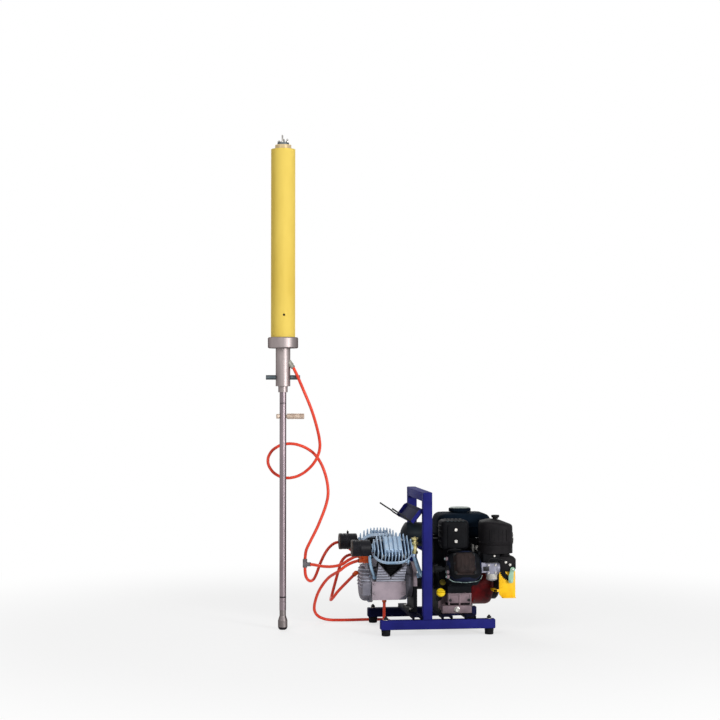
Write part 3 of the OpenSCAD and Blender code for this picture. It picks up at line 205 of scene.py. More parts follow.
# blue tint of the bare aluminium pipes, pistons and nuts: painted sky reflection
addFinish("pipeSilver", "#b0bed0", "#96a6be", metal=0.75, rough=(0.28, 0.42), bump=0.06)
addFinish("pipeBlue", "#9ebed8", "#84aaca", metal=0.35, rough=(0.3, 0.44), bump=0.06)
addFinish("brassYellow", "#cec48e", "#b0a268", blotch=120, metal=0.8, rough=(0.28, 0.42), bump=0.08)
addFinish("pushOrange", "#e65c1e", "#d45018", rough=(0.32, 0.42), specular=0.3)
addFinish("hammerSteel", "#a09594", "#887f7f", blotch=10, spread=0.8, grain=110, stretch=(4, 4, 0.4),
          bump=0.02, metal=1.0, rough=(0.46, 0.52), edge="#bcb4b2", rim="#1e1b1e")
addFinish("rodSteel", "#94868a", "#766b70", blotch=9, spread=0.8, grain=90, stretch=(5, 5, 0.35), bump=0.01,
          metal=1.0, rough=(0.38, 0.43), rim="#1e1b1e")
addFinish("tipSteel", "#322e32", "#262327", blotch=30, grain=500, bump=0.08, metal=1.0, rough=(0.42, 0.54),
          rim="#1e1b1e", above=(0.009, "#847c7b", "#6c6565"))
# teal tint of the probe's bare steel bars and cap: painted sky reflection
addFinish("barPaintedSkyTeal", "#5c6468", "#4c555a", blotch=30, grain=400, bump=0.08, metal=1.0, rough=(0.46, 0.56),
          rim="#1e2022")
addFinish("capCream", "#ceb88e", "#b8a37c", blotch=30, grain=400, bump=0.06, metal=0.4, rough=(0.4, 0.52),
          specular=0.3)
addFinish("gripTan", "#cebcac", "#b6a292", blotch=70, grain=500, bump=0.1, metal=0.3, rough=(0.4, 0.54),
          specular=0.3)
addFinish("endGrey", "#9e9c92", "#86847a", bump=0.08, metal=0.3, rough=(0.42, 0.54), specular=0.25)
addFinish("seamDark", "#2c262a", "#201c1f", bump=0.1, rough=(0.5, 0.64), specular=0.12)
addFinish("shaftSteel", "#8c8a8a", "#706e6e", blotch=90, metal=0.8, rough=(0.34, 0.48), bump=0.06)
addFinish("engineGrey", "#7e6c72", "#6a5b61", blotch=30, grain=1200, bump=0.3, metal=0.2, rough=(0.5, 0.66),
          edge="#b2a6a8", specular=0.22)
addFinish("engineBlack", "#111317", "#0b0c0f", blotch=50, grain=1000, bump=0.25, rough=(0.55, 0.68),
          edge="#282b32", specular=0.06)
addFinish("plugOlive", "#7e7018", "#685c14", rough=(0.42, 0.54), bump=0.08, specular=0.2)
addFinish("surroundBlue", "#1a2036", "#13182a", blotch=24, bump=0.12, rough=(0.5, 0.62), edge="#2e3650",
          specular=0.07)
addFinish("valveBrown", "#2e2524", "#201a1a", blotch=40, grain=1000, bump=0.25, rough=(0.5, 0.62),
          edge="#50423f", specular=0.08)
addFinish("bootBlack", "#151619", "#0e0f11", grain=900, bump=0.12, rough=(0.52, 0.66), specular=0.08)
addFinish("guardBlack", "#0e0f12", "#09090c", blotch=45, grain=1200, bump=0.16, rough=(0.5, 0.62),
          edge="#24262c", specular=0.06)
# teal grey on the black guard's louvres and inner panel: painted sheen
addFinish("guardPaintedSheen", "#2c3a3e", "#202c30", bump=0.12, rough=(0.44, 0.56), specular=0.12)
addFinish("tankBlack", "#101a25", "#0a121b", blotch=18, grain=900, bump=0.06, rough=(0.6, 0.72),
          specular=0.012)
addFinish("capGrey", "#7e8882", "#68726d", blotch=40, grain=900, bump=0.06, metal=0.4, rough=(0.3, 0.42))
addFinish("cleanerBlack", "#191719", "#111012", blotch=24, grain=1000, bump=0.14, rough=(0.52, 0.64),
          specular=0.07)
addFinish("carbSilver", "#80808e", "#626271", blotch=36, grain=1400, bump=0.22, metal=0.4, rough=(0.42, 0.56),
          edge="#b2b2be")
addFinish("bowlPale", "#bab8b2", "#9e9c98", blotch=40, grain=1200, bump=0.14, metal=0.3, rough=(0.4, 0.52),
          specular=0.3)
addFinish("lipPaintedHighlight", "#849694", "#2a3a3c", spread=0.3, bump=0.1, metal=0.2, rough=(0.4, 0.52), specular=0.2)
addFinish("plateYellow", "#f0be14", "#e4b00e", blotch=40, rough=(0.36, 0.48), edge="#c4a03c", specular=0.25)
addFinish("leverGreen", "#96baa0", "#82a88e", bump=0.08, rough=(0.38, 0.52), specular=0.3)
addFinish("blowerRed", "#540509", "#320407", blotch=20, grain=300, rough=(0.45, 0.56), specular=0.08,
          edge="#68181a")
addFinish("flyIron", "#78787c", "#5c5c60", blotch=80, grain=1100, bump=0.3, metal=0.7, rough=(0.45, 0.6))
addFinish("oilYellow", "#eecc16", "#deba10", rough=(0.36, 0.46), specular=0.25)
addFinish("sleeveYellow", "#dec25c", "#d5b750", blotch=7, grain=600, stretch=(1, 1, 0.3), bump=0.08,
          rough=(0.56, 0.7), specular=0.12)
addFinish("hoseRed", "#e4482e", "#d63a24", blotch=20, grain=300, bump=0.02, rough=(0.34, 0.46), specular=0.25)
addFinish("teeGrey", "#707074", "#5c5c60", rough=(0.38, 0.5), bump=0.08, specular=0.3)
print("finishes made:", len(finishes))


# hoses, on the points of the part's own routes
hoses = {
    "mainHose": {
        "node": "main_hose", "count": 40, "stretches": True, "exit": (0.618, -0.201, -0.76),
        "enter": (0, 0, -1),
        "points": [(-313.65, 19.16, 859.94), (-304, 15, 840), (-274, 12, 770), (-256, 16, 727),
                   (-241, 25, 684), (-229, 35, 640), (-223, 45, 600), (-233, 53, 560), (-257, 60, 527),
                   (-289, 66, 504), (-325, 70, 495), (-360, 73, 503), (-385, 75, 526), (-393, 77, 556),
                   (-379, 79, 585), (-350, 80, 603), (-315, 80, 608), (-280, 80, 600), (-248, 80, 582),
                   (-222, 79, 553), (-199, 75, 495), (-194, 72, 430), (-223, 67, 345), (-262, 61, 267),
                   (-270, 60, 245), (-271, 60, 227)]},
    "frontBranch": {
        "node": "front_branch", "count": 16, "exit": (0.891, -0.454, 0), "enter": (1, 0, 0),
        "points": [(-253.18, 50.92, 210), (-236, 42, 208), (-210, 27, 205), (-182, 8, 207), (-156, -13, 216),
                   (-133, -30, 233), (-106, -35, 244)]},
    "rearBranch": {
        "node": "rear_branch", "count": 28, "exit": (0, 0, -1), "enter": (1, 0, 0),
        "points": [(-271, 60, 199), (-268, 65, 171), (-259, 78, 156), (-248, 95, 150), (-236, 113, 155),
                   (-226, 127, 170), (-210, 148, 205), (-190, 161, 240), (-168, 168, 263), (-146, 171, 271),
                   (-124, 172, 265), (-103, 173, 244), (-62, 173, 230), (-38, 171.8, 231.7)]},
    "balanceHose": {
        "node": "balance_hose", "count": 26, "exit": (-1, 0, 0), "enter": (0.707, 0, 0.707),
        "points": [(-38, 161.9, 221.8), (-66, 163, 220), (-94, 163, 228), (-117, 163, 226), (-136, 162, 208),
                   (-147, 160, 178), (-160, 155, 135), (-174, 130, 96), (-180, 106, 86), (-180, 84, 89),
                   (-173, 65, 102), (-160, 50, 122), (-113.5, 30, 173.5)]},
    "floorHose": {
        "node": "floor_hose", "count": 36, "exit": (-1, 0, 0), "enter": (0, 0, 1),
        "points": [(-106, -35, 229), (-128, -35, 222), (-147, -30, 211), (-163, -16, 196), (-195, 52, 163),
                   (-221, 110, 111), (-231, 153, 55), (-224, 167, 32), (-206, 176, 16), (-170, 182, 7),
                   (-31, 184, 6), (-4, 181, 6), (16, 168, 6), (23, 146, 6), (18, 122, 6), (-5, 82, 6),
                   (-12, 57, 7), (-13, 36, 13), (-13, 20, 26), (-13, 12, 48), (-13, 10, 86)]},
}
hoseRadius = 5.0


def smoothRoute(points, leave, enter, count):  # even points on a curve through the route
    pts = [Vector(p) for p in points]
    dense = []
    for i in range(len(pts) - 1):
        a, b = pts[i], pts[i + 1]
        reach = (b - a).length
        ta = Vector(leave).normalized() if i == 0 else (b - pts[i - 1]).normalized()
        tb = Vector(enter).normalized() if i == len(pts) - 2 else (pts[i + 2] - a).normalized()
        for k in range(12):
            t = k / 12
            h = (2 * t**3 - 3 * t**2 + 1, t**3 - 2 * t**2 + t, -2 * t**3 + 3 * t**2, t**3 - t**2)
            dense.append(a * h[0] + ta * reach * h[1] + b * h[2] + tb * reach * h[3])
    dense.append(pts[-1])
    steps = [0.0]
    for i in range(1, len(dense)):
        steps.append(steps[-1] + (dense[i] - dense[i - 1]).length)
    even, j = [], 0
    for k in range(count):
        goal = steps[-1] * k / (count - 1)
        while j < len(steps) - 2 and steps[j + 1] < goal:
            j += 1
        part = (goal - steps[j]) / (steps[j + 1] - steps[j])
        even.append(dense[j].lerp(dense[j + 1], min(1.0, part)))
    return even, steps[-1]


def roundLine(name, points, radius, sides):  # a curve with a round section
    line = bpy.data.curves.new(name, "CURVE")
    line.dimensions = "3D"
    line.bevel_depth = radius
    line.bevel_resolution = sides
    line.resolution_u = 6
    line.use_fill_caps = True
    spline = line.splines.new("BEZIER")
    spline.bezier_points.add(len(points) - 1)
    for point, where in zip(spline.bezier_points, points):
        point.co = where
        point.handle_left_type = point.handle_right_type = "AUTO"
    return line


# hoses ride on the frame, and the long one stretches up to the hammer
for name, hose in hoses.items():
    even, length = smoothRoute(hose["points"], hose["exit"], hose["enter"], hose["count"])
    line = roundLine(name, [p * mm for p in even], hoseRadius * mm, 5)
    line.materials.append(finishes["hoseRed"])
    piece = bpy.data.objects.new(name, line)
    path = None
    if hose.get("stretches"):  # a mesh tube, left in place and not tied to the frame
        line.bevel_depth = 0
        path = [v.co.copy() for v in piece.to_mesh().vertices]
        piece.to_mesh_clear()
        line.bevel_depth = hoseRadius * mm
        tube = bpy.data.meshes.new_from_object(piece)
        bpy.data.objects.remove(piece)
        piece = bpy.data.objects.new(name, tube)
    scene.collection.objects.link(piece)
    if path:
        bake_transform(piece)
    else:
        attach(piece, "frame")
    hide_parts(hose["node"])
    print("hose tied on:", name, round(length))


# shapes, each added to a bmesh in millimetres
def settle(bm, old, at, soft=0.0, segments=2, sharp=35, paint=0):
    fresh = [v for v in bm.verts if v not in old]
    bmesh.ops.remove_doubles(bm, verts=fresh, dist=0.002)
    fresh = [v for v in bm.verts if v not in old]
    bmesh.ops.transform(bm, matrix=at, verts=fresh)
    faces = [f for f in bm.faces if f.verts[0] not in old]
    bmesh.ops.recalc_face_normals(bm, faces=faces)
    for f in faces:
        f.material_index = paint
    if soft:
        edges = [e for e in bm.edges if e.verts[0] not in old and len(e.link_faces) == 2
                 and e.calc_face_angle(0) > math.radians(sharp)]
        bmesh.ops.bevel(bm, geom=edges, offset=soft, offset_type="OFFSET", segments=segments, profile=0.5,
                        affect="EDGES", clamp_overlap=True, material=-1)


def block(bm, low, high, soft=1.0, segments=2, at=here, paint=0):
    old = set(bm.verts)
    made = bmesh.ops.create_cube(bm, size=1)["verts"]
    bmesh.ops.scale(bm, vec=[b - a for a, b in zip(low, high)], verts=made)
    bmesh.ops.translate(bm, vec=[(a + b) / 2 for a, b in zip(low, high)], verts=made)
    settle(bm, old, at, soft, segments, paint=paint)


def pin(bm, radius, length, at=here, soft=0.6, sides=32, tip=None, paint=0):
    old = set(bm.verts)
    made = bmesh.ops.create_cone(bm, cap_ends=True, segments=sides, radius1=radius,
                                 radius2=radius if tip is None else tip, depth=length)["verts"]
    bmesh.ops.translate(bm, vec=(0, 0, length / 2), verts=made)
    settle(bm, old, at, soft, 2, 50 if sides > 8 else 35, paint)


def turned(bm, profile, at=here, steps=48, paint=0):
    old = set(bm.verts)
    line = [bm.verts.new((r, 0, z)) for r, z in profile]
    edges = [bm.edges.new((a, b)) for a, b in zip(line, line[1:])]
    bmesh.ops.spin(bm, geom=line + edges, cent=(0, 0, 0), axis=(0, 0, 1), angle=math.radians(360),
                   steps=steps,
                   use_merge=True, use_duplicate=False)
    settle(bm, old, at, paint=paint)


def prism(bm, outline, depth, at=here, soft=0.8, segments=2, paint=0):
    old = set(bm.verts)
    face = bm.faces.new([bm.verts.new((x, y, 0)) for x, y in outline])
    made = bmesh.ops.extrude_face_region(bm, geom=[face])["geom"]
    bmesh.ops.translate(bm, vec=(0, 0, depth), verts=[v for v in made if isinstance(v, bmesh.types.BMVert)])
    settle(bm, old, at, soft, segments, paint=paint)


def roundedOutline(w, d, r, steps, cx, cy):
    out = []
    for sx, sy, start in ((1, 1, 0), (-1, 1, 90), (-1, -1, 180), (1, -1, 270)):
        for k in range(steps + 1):
            a = math.radians(start + 90 * k / steps)
            out.append((cx + sx * (w / 2 - r) + r * math.cos(a), cy + sy * (d / 2 - r) + r * math.sin(a)))
    return out


def hexHead(bm, radius, height, at=here, paint=0, washer=0.0):
    if washer:
        pin(bm, washer, 1.6, at, 0.4, paint=paint)
        at = at @ move(0, 0, 1.6)
    pin(bm, radius, height * 0.8, at, 0, 6, paint=paint)
    pin(bm, radius * 0.99, height * 0.2, at @ move(0, 0, height * 0.8), 0, 6, radius * 0.84, paint)


def wire(bm, points, radius, paint=0, at=here, sides=4):
    line = roundLine("wire", points, radius, sides)
    holder = bpy.data.objects.new("wire", line)
    old = set(bm.verts)
    bm.from_mesh(holder.to_mesh())
    holder.to_mesh_clear()
    bpy.data.objects.remove(holder)
    bpy.data.curves.remove(line)
    settle(bm, old, at, paint=paint)


def weldBead(bm, a, b, radius=1.7):
    a, b = Vector(a), Vector(b)
    count = max(3, round((b - a).length / (radius * 1.5)))
    lean = (b - a).to_track_quat("Z", "Y").to_matrix().to_4x4() @ Matrix.Diagonal((1, 1, 1.25, 1))
    for k in range(count):
        old = set(bm.verts)
        bmesh.ops.create_uvsphere(bm, u_segments=8, v_segments=5, radius=radius)
        settle(bm, old, Matrix.Translation(a.lerp(b, (k + 0.5) / count)) @ lean)


def ridges(bm, count, low, high, soft, at=here):  # one block, set round a ring
    for k in range(count):
        block(bm, low, high, soft, 1, at @ turn(360 / count * k, "Z"))


# rounded outlines on each other, each level a height and an inset
def stack(bm, w, d, r, levels, at=here, cx=0, cy=0, paint=0, steps=8):
    old = set(bm.verts)
    rings, loops = [], []
    for z, inset in levels:
        outline = roundedOutline(w - 2 * inset, d - 2 * inset, max(r - inset, 1.5), steps, cx, cy)
        rings.append([bm.verts.new((x, y, z)) for x, y in outline])
        loops.append([bm.edges.new(pair) for pair in zip(rings[-1], rings[-1][1:] + rings[-1][:1])])
    for a, b in zip(loops, loops[1:]):
        bmesh.ops.bridge_loops(bm, edges=a + b)
    bm.faces.new(rings[0])
    bm.faces.new(rings[-1])
    settle(bm, old, at, paint=paint)


smoothBelow = 38  # degrees


def addPiece(name, bm, looks, body="frame", at=here, hides=None):
    bmesh.ops.transform(bm, matrix=Matrix.Scale(mm, 4) @ at, verts=bm.verts)
    mesh = bpy.data.meshes.new(name)
    bm.to_mesh(mesh)
    bm.free()
    for face in mesh.polygons:
        face.use_smooth = True
    mesh.set_sharp_from_angle(angle=math.radians(smoothBelow))
    piece = addObject(name, mesh)
    for look in (looks,) if isinstance(looks, str) else looks:
        mesh.materials.append(finishes[look])
    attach(piece, body)
    if hides:
        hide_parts(hides)


# tube frame with welds
tubes = {"rail": (186, 30, 20, 50), "inset": (3.5, 0.05), "post": (-49.5, -19.5), "postTop": 458,
         "barLow": 428, "corner": 2.6}
bm = bmesh.new()
halfRail, wide, low, top = tubes["rail"]
inside, past = tubes["inset"]
postLeft, postRight = tubes["post"]
for s in ends:
    y = s * railY
    # the back rail takes the darker navy, painted shade
    block(bm, (-halfRail, y - wide / 2, low), (halfRail, y + wide / 2, top), tubes["corner"], 3, paint=s > 0)
    for end in ends:  # plates in the tube's mouths
        x = end * (halfRail + past)
        block(bm, (x - 0.5, y - wide / 2 + inside, low + inside),
              (x + 0.5, y + wide / 2 - inside, top - inside), 0.4, 1, paint=s > 0)
addPiece("railTubes", bm, ("framePaint", "framePaintedShade"), at=unitAt, hides="rails")
bm = bmesh.new()
for s in ends:
    y = s * railY
    block(bm, (postLeft, y - wide / 2, top), (postRight, y + wide / 2, tubes["postTop"]), tubes["corner"], 3)
    for x in tubes["post"]:
        weldBead(bm, (x, y - 14, top + 0.3), (x, y + 14, top + 0.3))
addPiece("postTubes", bm, "framePaint", at=unitAt, hides="posts")
bm = bmesh.new()
inner = railY - wide / 2
block(bm, (postLeft, -inner, tubes["barLow"]), (postRight, inner, tubes["postTop"]), tubes["corner"], 3)
block(bm, (-44.5, -inner, 266), (-24.5, inner, 272), 0.8)
for s in ends:
    y, z = s * 137, tubes["barLow"] + 0.3
    weldBead(bm, (postLeft + 1, y, z), (postRight - 1, y, z))
    weldBead(bm, (-44, y, 266), (-25, y, 266), 1.3)
addPiece("carryBar", bm, "framePaint", at=unitAt, hides="top_bar")
crossBars = {"spans": ((-80, -52), (15, 47), (91, 123)), "top": 62, "wall": 3, "half": 167.5}
bm = bmesh.new()
for x0, x1 in crossBars["spans"]:
    in0, in1 = x0 + crossBars["wall"], x1 - crossBars["wall"]
    high = crossBars["top"]
    under = high - crossBars["wall"]
    outline = [(x0, top), (in0, top), (in0, under), (in1, under), (in1, top), (x1, top), (x1, high),
               (x0, high)]
    prism(bm, outline, 2 * crossBars["half"], frontAt(0, crossBars["half"], 0), 0.9)
    for s in ends:
        for x in (x0, x1):
            weldBead(bm, (x, s * 139, 50.2), (x, s * 166, 50.2), 1.4)
# the cross channels take the darkest navy, painted shade
addPiece("crossChannels", bm, "barNavy", at=unitAt, hides="mount_bars")

# rubber feet, waisted
footProfile = [(0, 0), (12.4, 0), (13.7, 0.9), (14.0, 2.4), (14.3, 7.5), (13.8, 9.2), (14.4, 10.8),
               (14.9, 17.6), (14.7, 19.2), (13.8, 20), (0, 20)]
bm = bmesh.new()
for sx, sy in corners:
    turned(bm, footProfile, move(sx * footX, sy * railY, 0), 40)
addPiece("rubberFeet", bm, "footRubber", at=unitAt, hides="rubber_feet")

# bent hose cradle with its wire prongs
cradle = {"at": (-49.5, 0, 457), "half": railY, "prong": 2.5}
bm = bmesh.new()
bend = [(0, -53), (0, -65), (-28.5, -100.5), (-30.8, -98.5), (-3, -63.5), (-3, -53)]
# the cradle's plate takes the darker navy, painted shade between the lit ears
prism(bm, bend, 2 * cradle["half"], frontAt(0, cradle["half"], 0), 0.7, 2, paint=2)
ear = [(-2, -64), (-29.7, -99.5), (-38, -92), (-12, -57), (-3, -53), (-2, -53)]
for y in (cradle["half"], -cradle["half"] + 3):
    prism(bm, ear, 3, frontAt(0, y, 0), 0.7)
for s in ends:
    y = s * 140.5
    weldBead(bm, (-0.3, y - 9, -66), (-0.3, y + 9, -66), 1.3)
    wire(bm, [(-29.5, y, -98), (-41, y, -89.5), (-50, y, -83.8), (-57, y, -77.6), (-70, y, -69),
              (-80, y, -62.5), (-96.5, y, -51.4)], cradle["prong"], paint=1)
addPiece("hoseCradle", bm, ("framePaint", "boltBlack", "framePaintedShade"), at=unitAt @ move(*cradle["at"]),
         hides="hose_cradle")
print("frame done")

# bolts, nuts and washers: 0 zinc, 1 black, 2 the cover's grey
bolts = {"engine": (31, 107), "engineY": 85, "standX": -71, "standY": 50, "flange": 36, "head": 33,
         "coverX": (-193, -99), "coverZ": (126, 157), "guardZ": (296, 333), "elbow": ((226, 228), (240, 220))}
bm = bmesh.new()
for sx, sy in corners:
    foot = move(sx * footX, sy * railY, 0)
    pin(bm, 9, 1.6, foot @ move(0, 0, 50), 0.4)
    hexHead(bm, 7.5, 6.5, foot @ move(0, 0, 51.6), 1)
    turned(bm, [(0, 57)] + [(4 - 0.45 * (k % 2), 57 + 0.55 * k) for k in range(9)] + [(3, 62), (0, 62)], foot,
           24, paint=1)
for x in bolts["engine"]:
    for s in ends:
        y = s * bolts["engineY"]
        hexHead(bm, 7.5, 5.5, move(x, y, 72))
        hexHead(bm, 7.5, 6.5, move(x, y, 59) @ turn(180, "X"))
for s in ends:
    x, y = bolts["standX"], s * bolts["standY"]
    hexHead(bm, 5.7, 4, move(x, y, 70))
    hexHead(bm, 5.7, 5, move(x, y, 59) @ turn(180, "X"))
for a in range(45, 360, 90):
    y, z = bolts["flange"] * math.cos(math.radians(a)), bolts["flange"] * math.sin(math.radians(a))
    spot = move(-52, y, crankZ + z)
    hexHead(bm, 6.5, 5.5, spot @ alongX)
for x in bolts["coverX"]:
    for z in bolts["coverZ"]:
        spot = frontAt(x, -72, z)
        turned(bm, [(0, 3.5), (2.2, 3.5), (2.2, 1.6), (2.6, 3.3), (3.6, 3.3), (4.6, 2.4), (4.6, 0), (0, 0)],
               spot, 24, paint=2)
for z in bolts["guardZ"]:
    hexHead(bm, 6, 4, frontAt(66, -119, z))
for x, z in bolts["elbow"]:
    spot = frontAt(x, -138, z)
    turned(bm, [(0, 2.2), (2.4, 2.2), (2.6, 3.4), (4.0, 3.0), (4.6, 1.8), (4.6, 0), (0, 0)], spot, 24)
bmesh.ops.transform(bm, matrix=unitAt, verts=bm.verts)
for side, x in banks.values():
    for sx, sy in corners:
        hexHead(bm, 7, 8, bankAt(side, x) @ move(sx * bolts["head"], sy * bolts["head"], 164))
addPiece("boltsAndNuts", bm, ("boltZinc", "boltBlack", "coverGrey"), hides="fasteners")
print("bolts done")

# compressor heads, each fin cut free round the bolts
heads = {"depth": 52, "finWide": 2.8, "pitch": 10.9, "window": (24, 42)}
for name, node in (("frontHead", "front_head"), ("rearHead", "rear_head")):
    bm = bmesh.new()
    stack(bm, 132, 104, 52, [(152, 1.4), (153.6, 0), (162.4, 0), (164, 1.4)], steps=14)
    # dark floor between the fins, painted shade
    stack(bm, 128, 100, 50, [(163.8, 0), (164.6, 0.4)], paint=1, steps=14)
    for i in range(-5, 7):
        fx = i * heads["pitch"] - heads["pitch"] / 2
        reach = math.sqrt(heads["depth"] ** 2 - max(0, abs(fx) - 14) ** 2) - 0.6
        foot = [(-reach, 163), (reach, 163)]
        if abs(abs(fx) - bolts["head"]) < 9:  # windows round the bolt heads
            near, far = heads["window"]
            foot = [(-reach, 163), (-far, 163), (-far, 175), (-near, 175), (-near, 163), (near, 163),
                    (near, 175), (far, 175), (far, 163), (reach, 163)]
        fin = foot + [(reach, 186), (reach - 2.8, 191.5), (reach - 7, 194), (7 - reach, 194),
                      (2.8 - reach, 191.5), (-reach, 186)]
        prism(bm, fin, heads["finWide"], move(fx - heads["finWide"] / 2, 0, 0) @ sideways, 0.9)
    block(bm, (-29, -29, 160), (29, 29, 191), 2.2, 3)
    for k in range(4):
        cx = -21.6 + 14.4 * k
        block(bm, (cx - 5.6, -28.4, 188), (cx + 5.6, 28.4, 197), 1.8, 3)
    for s in ends:
        block(bm, (s * 64 - 4, -10, 163), (s * 64 + 4, 10, 183), 1.4)
    addPiece(name, bm, ("headSilver", "headPaintedShade"), at=bankAt(*banks[name]), hides=node)

# intake filters with their ridges and brown end rings
filters = {"x": -68, "z": 173, "slots": 28, "stud": (-35, 26)}
filterProfile = [(0, 0), (9, 0), (9, 4.4), (22, 4.2), (24.8, 5.2), (26, 7.4), (26, 32), (27, 33.4),
                 (27, 37.6), (26, 39), (26, 53.6), (27, 54.8), (27, 61.8)]
filterEnd = [(26.8, 61.6), (27, 62.2), (25.8, 64.6), (21.5, 65), (20.4, 63.6), (8, 63.4), (6.8, 64.2),
             (0, 64.2)]
bm = bmesh.new()
for side, x in banks.values():
    spot = bankAt(side, x) @ move(filters["x"], 0, filters["z"]) @ toLeft
    turned(bm, filterProfile, spot, 64)
    turned(bm, filterEnd, spot, 64, paint=1)
    ridges(bm, filters["slots"], (25.4, -1.1, 41), (26.5, 1.1, 51), 0.4, spot)
studX, studUp = filters["stud"]
stud = crankAt @ move(banks["rearHead"][1] + filters["x"] + studX, port, port + studUp)
pin(bm, 3.6, 8, stud, 0.8)
pin(bm, 2, 12, stud, 0.5, paint=2)
addPiece("intakeFilters", bm, ("filterBlack", "filterRim", "boltZinc"), hides="intake_filters")
print("heads and filters done")

# brass valve and elbows
brass = {"valveX": -69, "left": (-75, -87), "right": -63.5, "half": 8, "drop": 18}
pipeX = -72.5  # the pipes' line, from the crank's middle
bm = bmesh.new()
for s, left in zip(ends, brass["left"]):
    y, half = s * port, brass["half"]
    block(bm, (left, y - half, port - brass["drop"]), (brass["right"], y + half, port + half), 1.6, 3)
valve = move(brass["valveX"], -port, port)
pin(bm, 10.5, 9, valve @ move(0, 0, -20), 0.8, 6)
pin(bm, 11, 10, valve @ move(0, 0, 7), 0.9, 6)
turned(bm, [(0, 17), (7.6, 17), (6.2, 19), (6.2, 22), (8, 24), (0, 24)], valve, 32)
turned(bm, [(0, 23.5), (11, 23.5), (12, 24.4), (12, 30), (10.8, 31.4), (4.4, 31.4), (4, 34.2), (0, 34.6)],
       valve, 12)
pin(bm, 10.5, 9, move(pipeX, port, port - 20), 0.8, 6)
pin(bm, 8, 4, move(pipeX, port, port + 8), 0.8, 6)
addPiece("brassValve", bm, "brassYellow", at=crankAt, hides="brass_fittings")

# bent discharge pipes, the riser to the receiver and the front side tube
pipes = {"radius": 7.2, "route": [(pipeX, 122.3, 105), (-70.6, 121, 93), (-63, 113, 72), (-54, 101, 51),
                                  (-46, 86, 37), (-41, 70, 29), (-44, 57, 25), (-53, 51, 24)],
         "sideRadius": 4.8, "side": [(-72, -14, 150), (-71, -22, 136), (-64, -32, 108), (-55, -34, 82),
                                     (-50, -33, 62)]}
bm = bmesh.new()
for s in ends:
    wire(bm, [(x, s * y, z) for x, y, z in pipes["route"]], pipes["radius"], sides=6)
    pin(bm, 9.4, 6, move(-52, s * 51, 24) @ alongX, 0.8, 6)
pin(bm, 5, 67.4, move(pipeX, 0, 52.3), 0)
bmesh.ops.transform(bm, matrix=crankAt, verts=bm.verts)
side = bankAt(*banks["frontHead"])
wire(bm, pipes["side"], pipes["sideRadius"], at=side)
pin(bm, 7.4, 7, side @ move(-50, -33, 60), 0.8, 6)
addPiece("dischargePipes", bm, "pipeBlue", hides="air_pipes")

# cast ribs on the crankcase's shoulders and on the end bell, paler than the case: painted light on the ribs,
# painted shade between them
ribs = {"wide": 46, "low": 63, "apex": 78, "rise": 71, "pitch": 13, "count": 7, "thick": 5, "proud": 3.6}
bm = bmesh.new()
for side, x in banks.values():
    spot = bankAt(side, x)
    half = ribs["wide"]
    for k in range(ribs["count"]):
        z = ribs["low"] + ribs["pitch"] * k
        edge = max(0, half * (z + ribs["thick"] - ribs["apex"]) / ribs["rise"])
        if half - edge < 3:
            continue
        for a, b in ((-half, -edge), (edge, half)) if edge else ((-half, half),):
            out = (side * (47 + ribs["proud"]), side * 46)
            block(bm, (a, min(out), z), (b, max(out), z + ribs["thick"]), 1.1, 2, spot)
bell = {"flat": 62, "round": 18, "long": 34, "from": 7, "proud": 2.6, "pitch": 11, "thick": 3}
for i in range(-1, 6):
    z = i * bell["pitch"]
    half = []
    for k in range(13):
        t = bell["from"] + (bell["long"] - bell["from"]) * k / 12
        bend = max(0, (t - bell["long"] + bell["round"]) / bell["round"])
        r = bell["flat"] - bell["round"] * (1 - math.sqrt(max(0, 1 - bend ** 2))) + bell["proud"]
        if r > abs(z) + 1:
            half.append((-200 - t - bell["proud"] * bend, math.sqrt(r * r - z * z)))
    prism(bm, half + [(x, -y) for x, y in reversed(half)], bell["thick"],
          move(0, 0, crankZ + z - bell["thick"] / 2) @ unitAt, 0.8)
addPiece("caseRibs", bm, "ribPale")

# union nuts on the discharge pipes, and screws of the end bell
bm = bmesh.new()
for s in ends:
    pin(bm, 10, 9, move(pipeX, s * port, 92), 0.8, 6)
pin(bm, 8.8, 9, move(pipeX, 0, 52.5), 0.8, 6)
pin(bm, 8.8, 8, move(pipeX, 0, 111), 0.8, 6)
for k in range(8):
    spot = turn(22.5 + 45 * k, "X") @ move(-206, 0, 64.4) @ toLeft
    turned(bm, [(0, 1.6), (1.2, 1.6), (1.2, 2.8), (2.1, 2.8), (2.4, 2.4), (2.4, 0), (0, 0)], spot, 16)
addPiece("unionNuts", bm, "pipeSilver", at=crankAt)

# push-in fittings: 0 orange body, 1 dark release ring, 2 grey thread
outlets = {"front": (73, 88), "frontY": -35, "rear": (161, 175), "drain": (-150, 10, -57),
           "elbow": (-242, 30, 26)}
outletY = outlets["frontY"]
bm = bmesh.new()


def pushSocket(bm, at, long=19):
    turned(bm, [(0, 0), (6.6, 0), (7.4, 1), (7.4, long - 3), (6.8, long - 1.6), (0, long - 1.6)], at, 32)
    turned(bm, [(5.1, long - 2), (6.6, long - 2), (6.6, long - 0.6), (6, long), (5.1, long)], at, 32, paint=1)


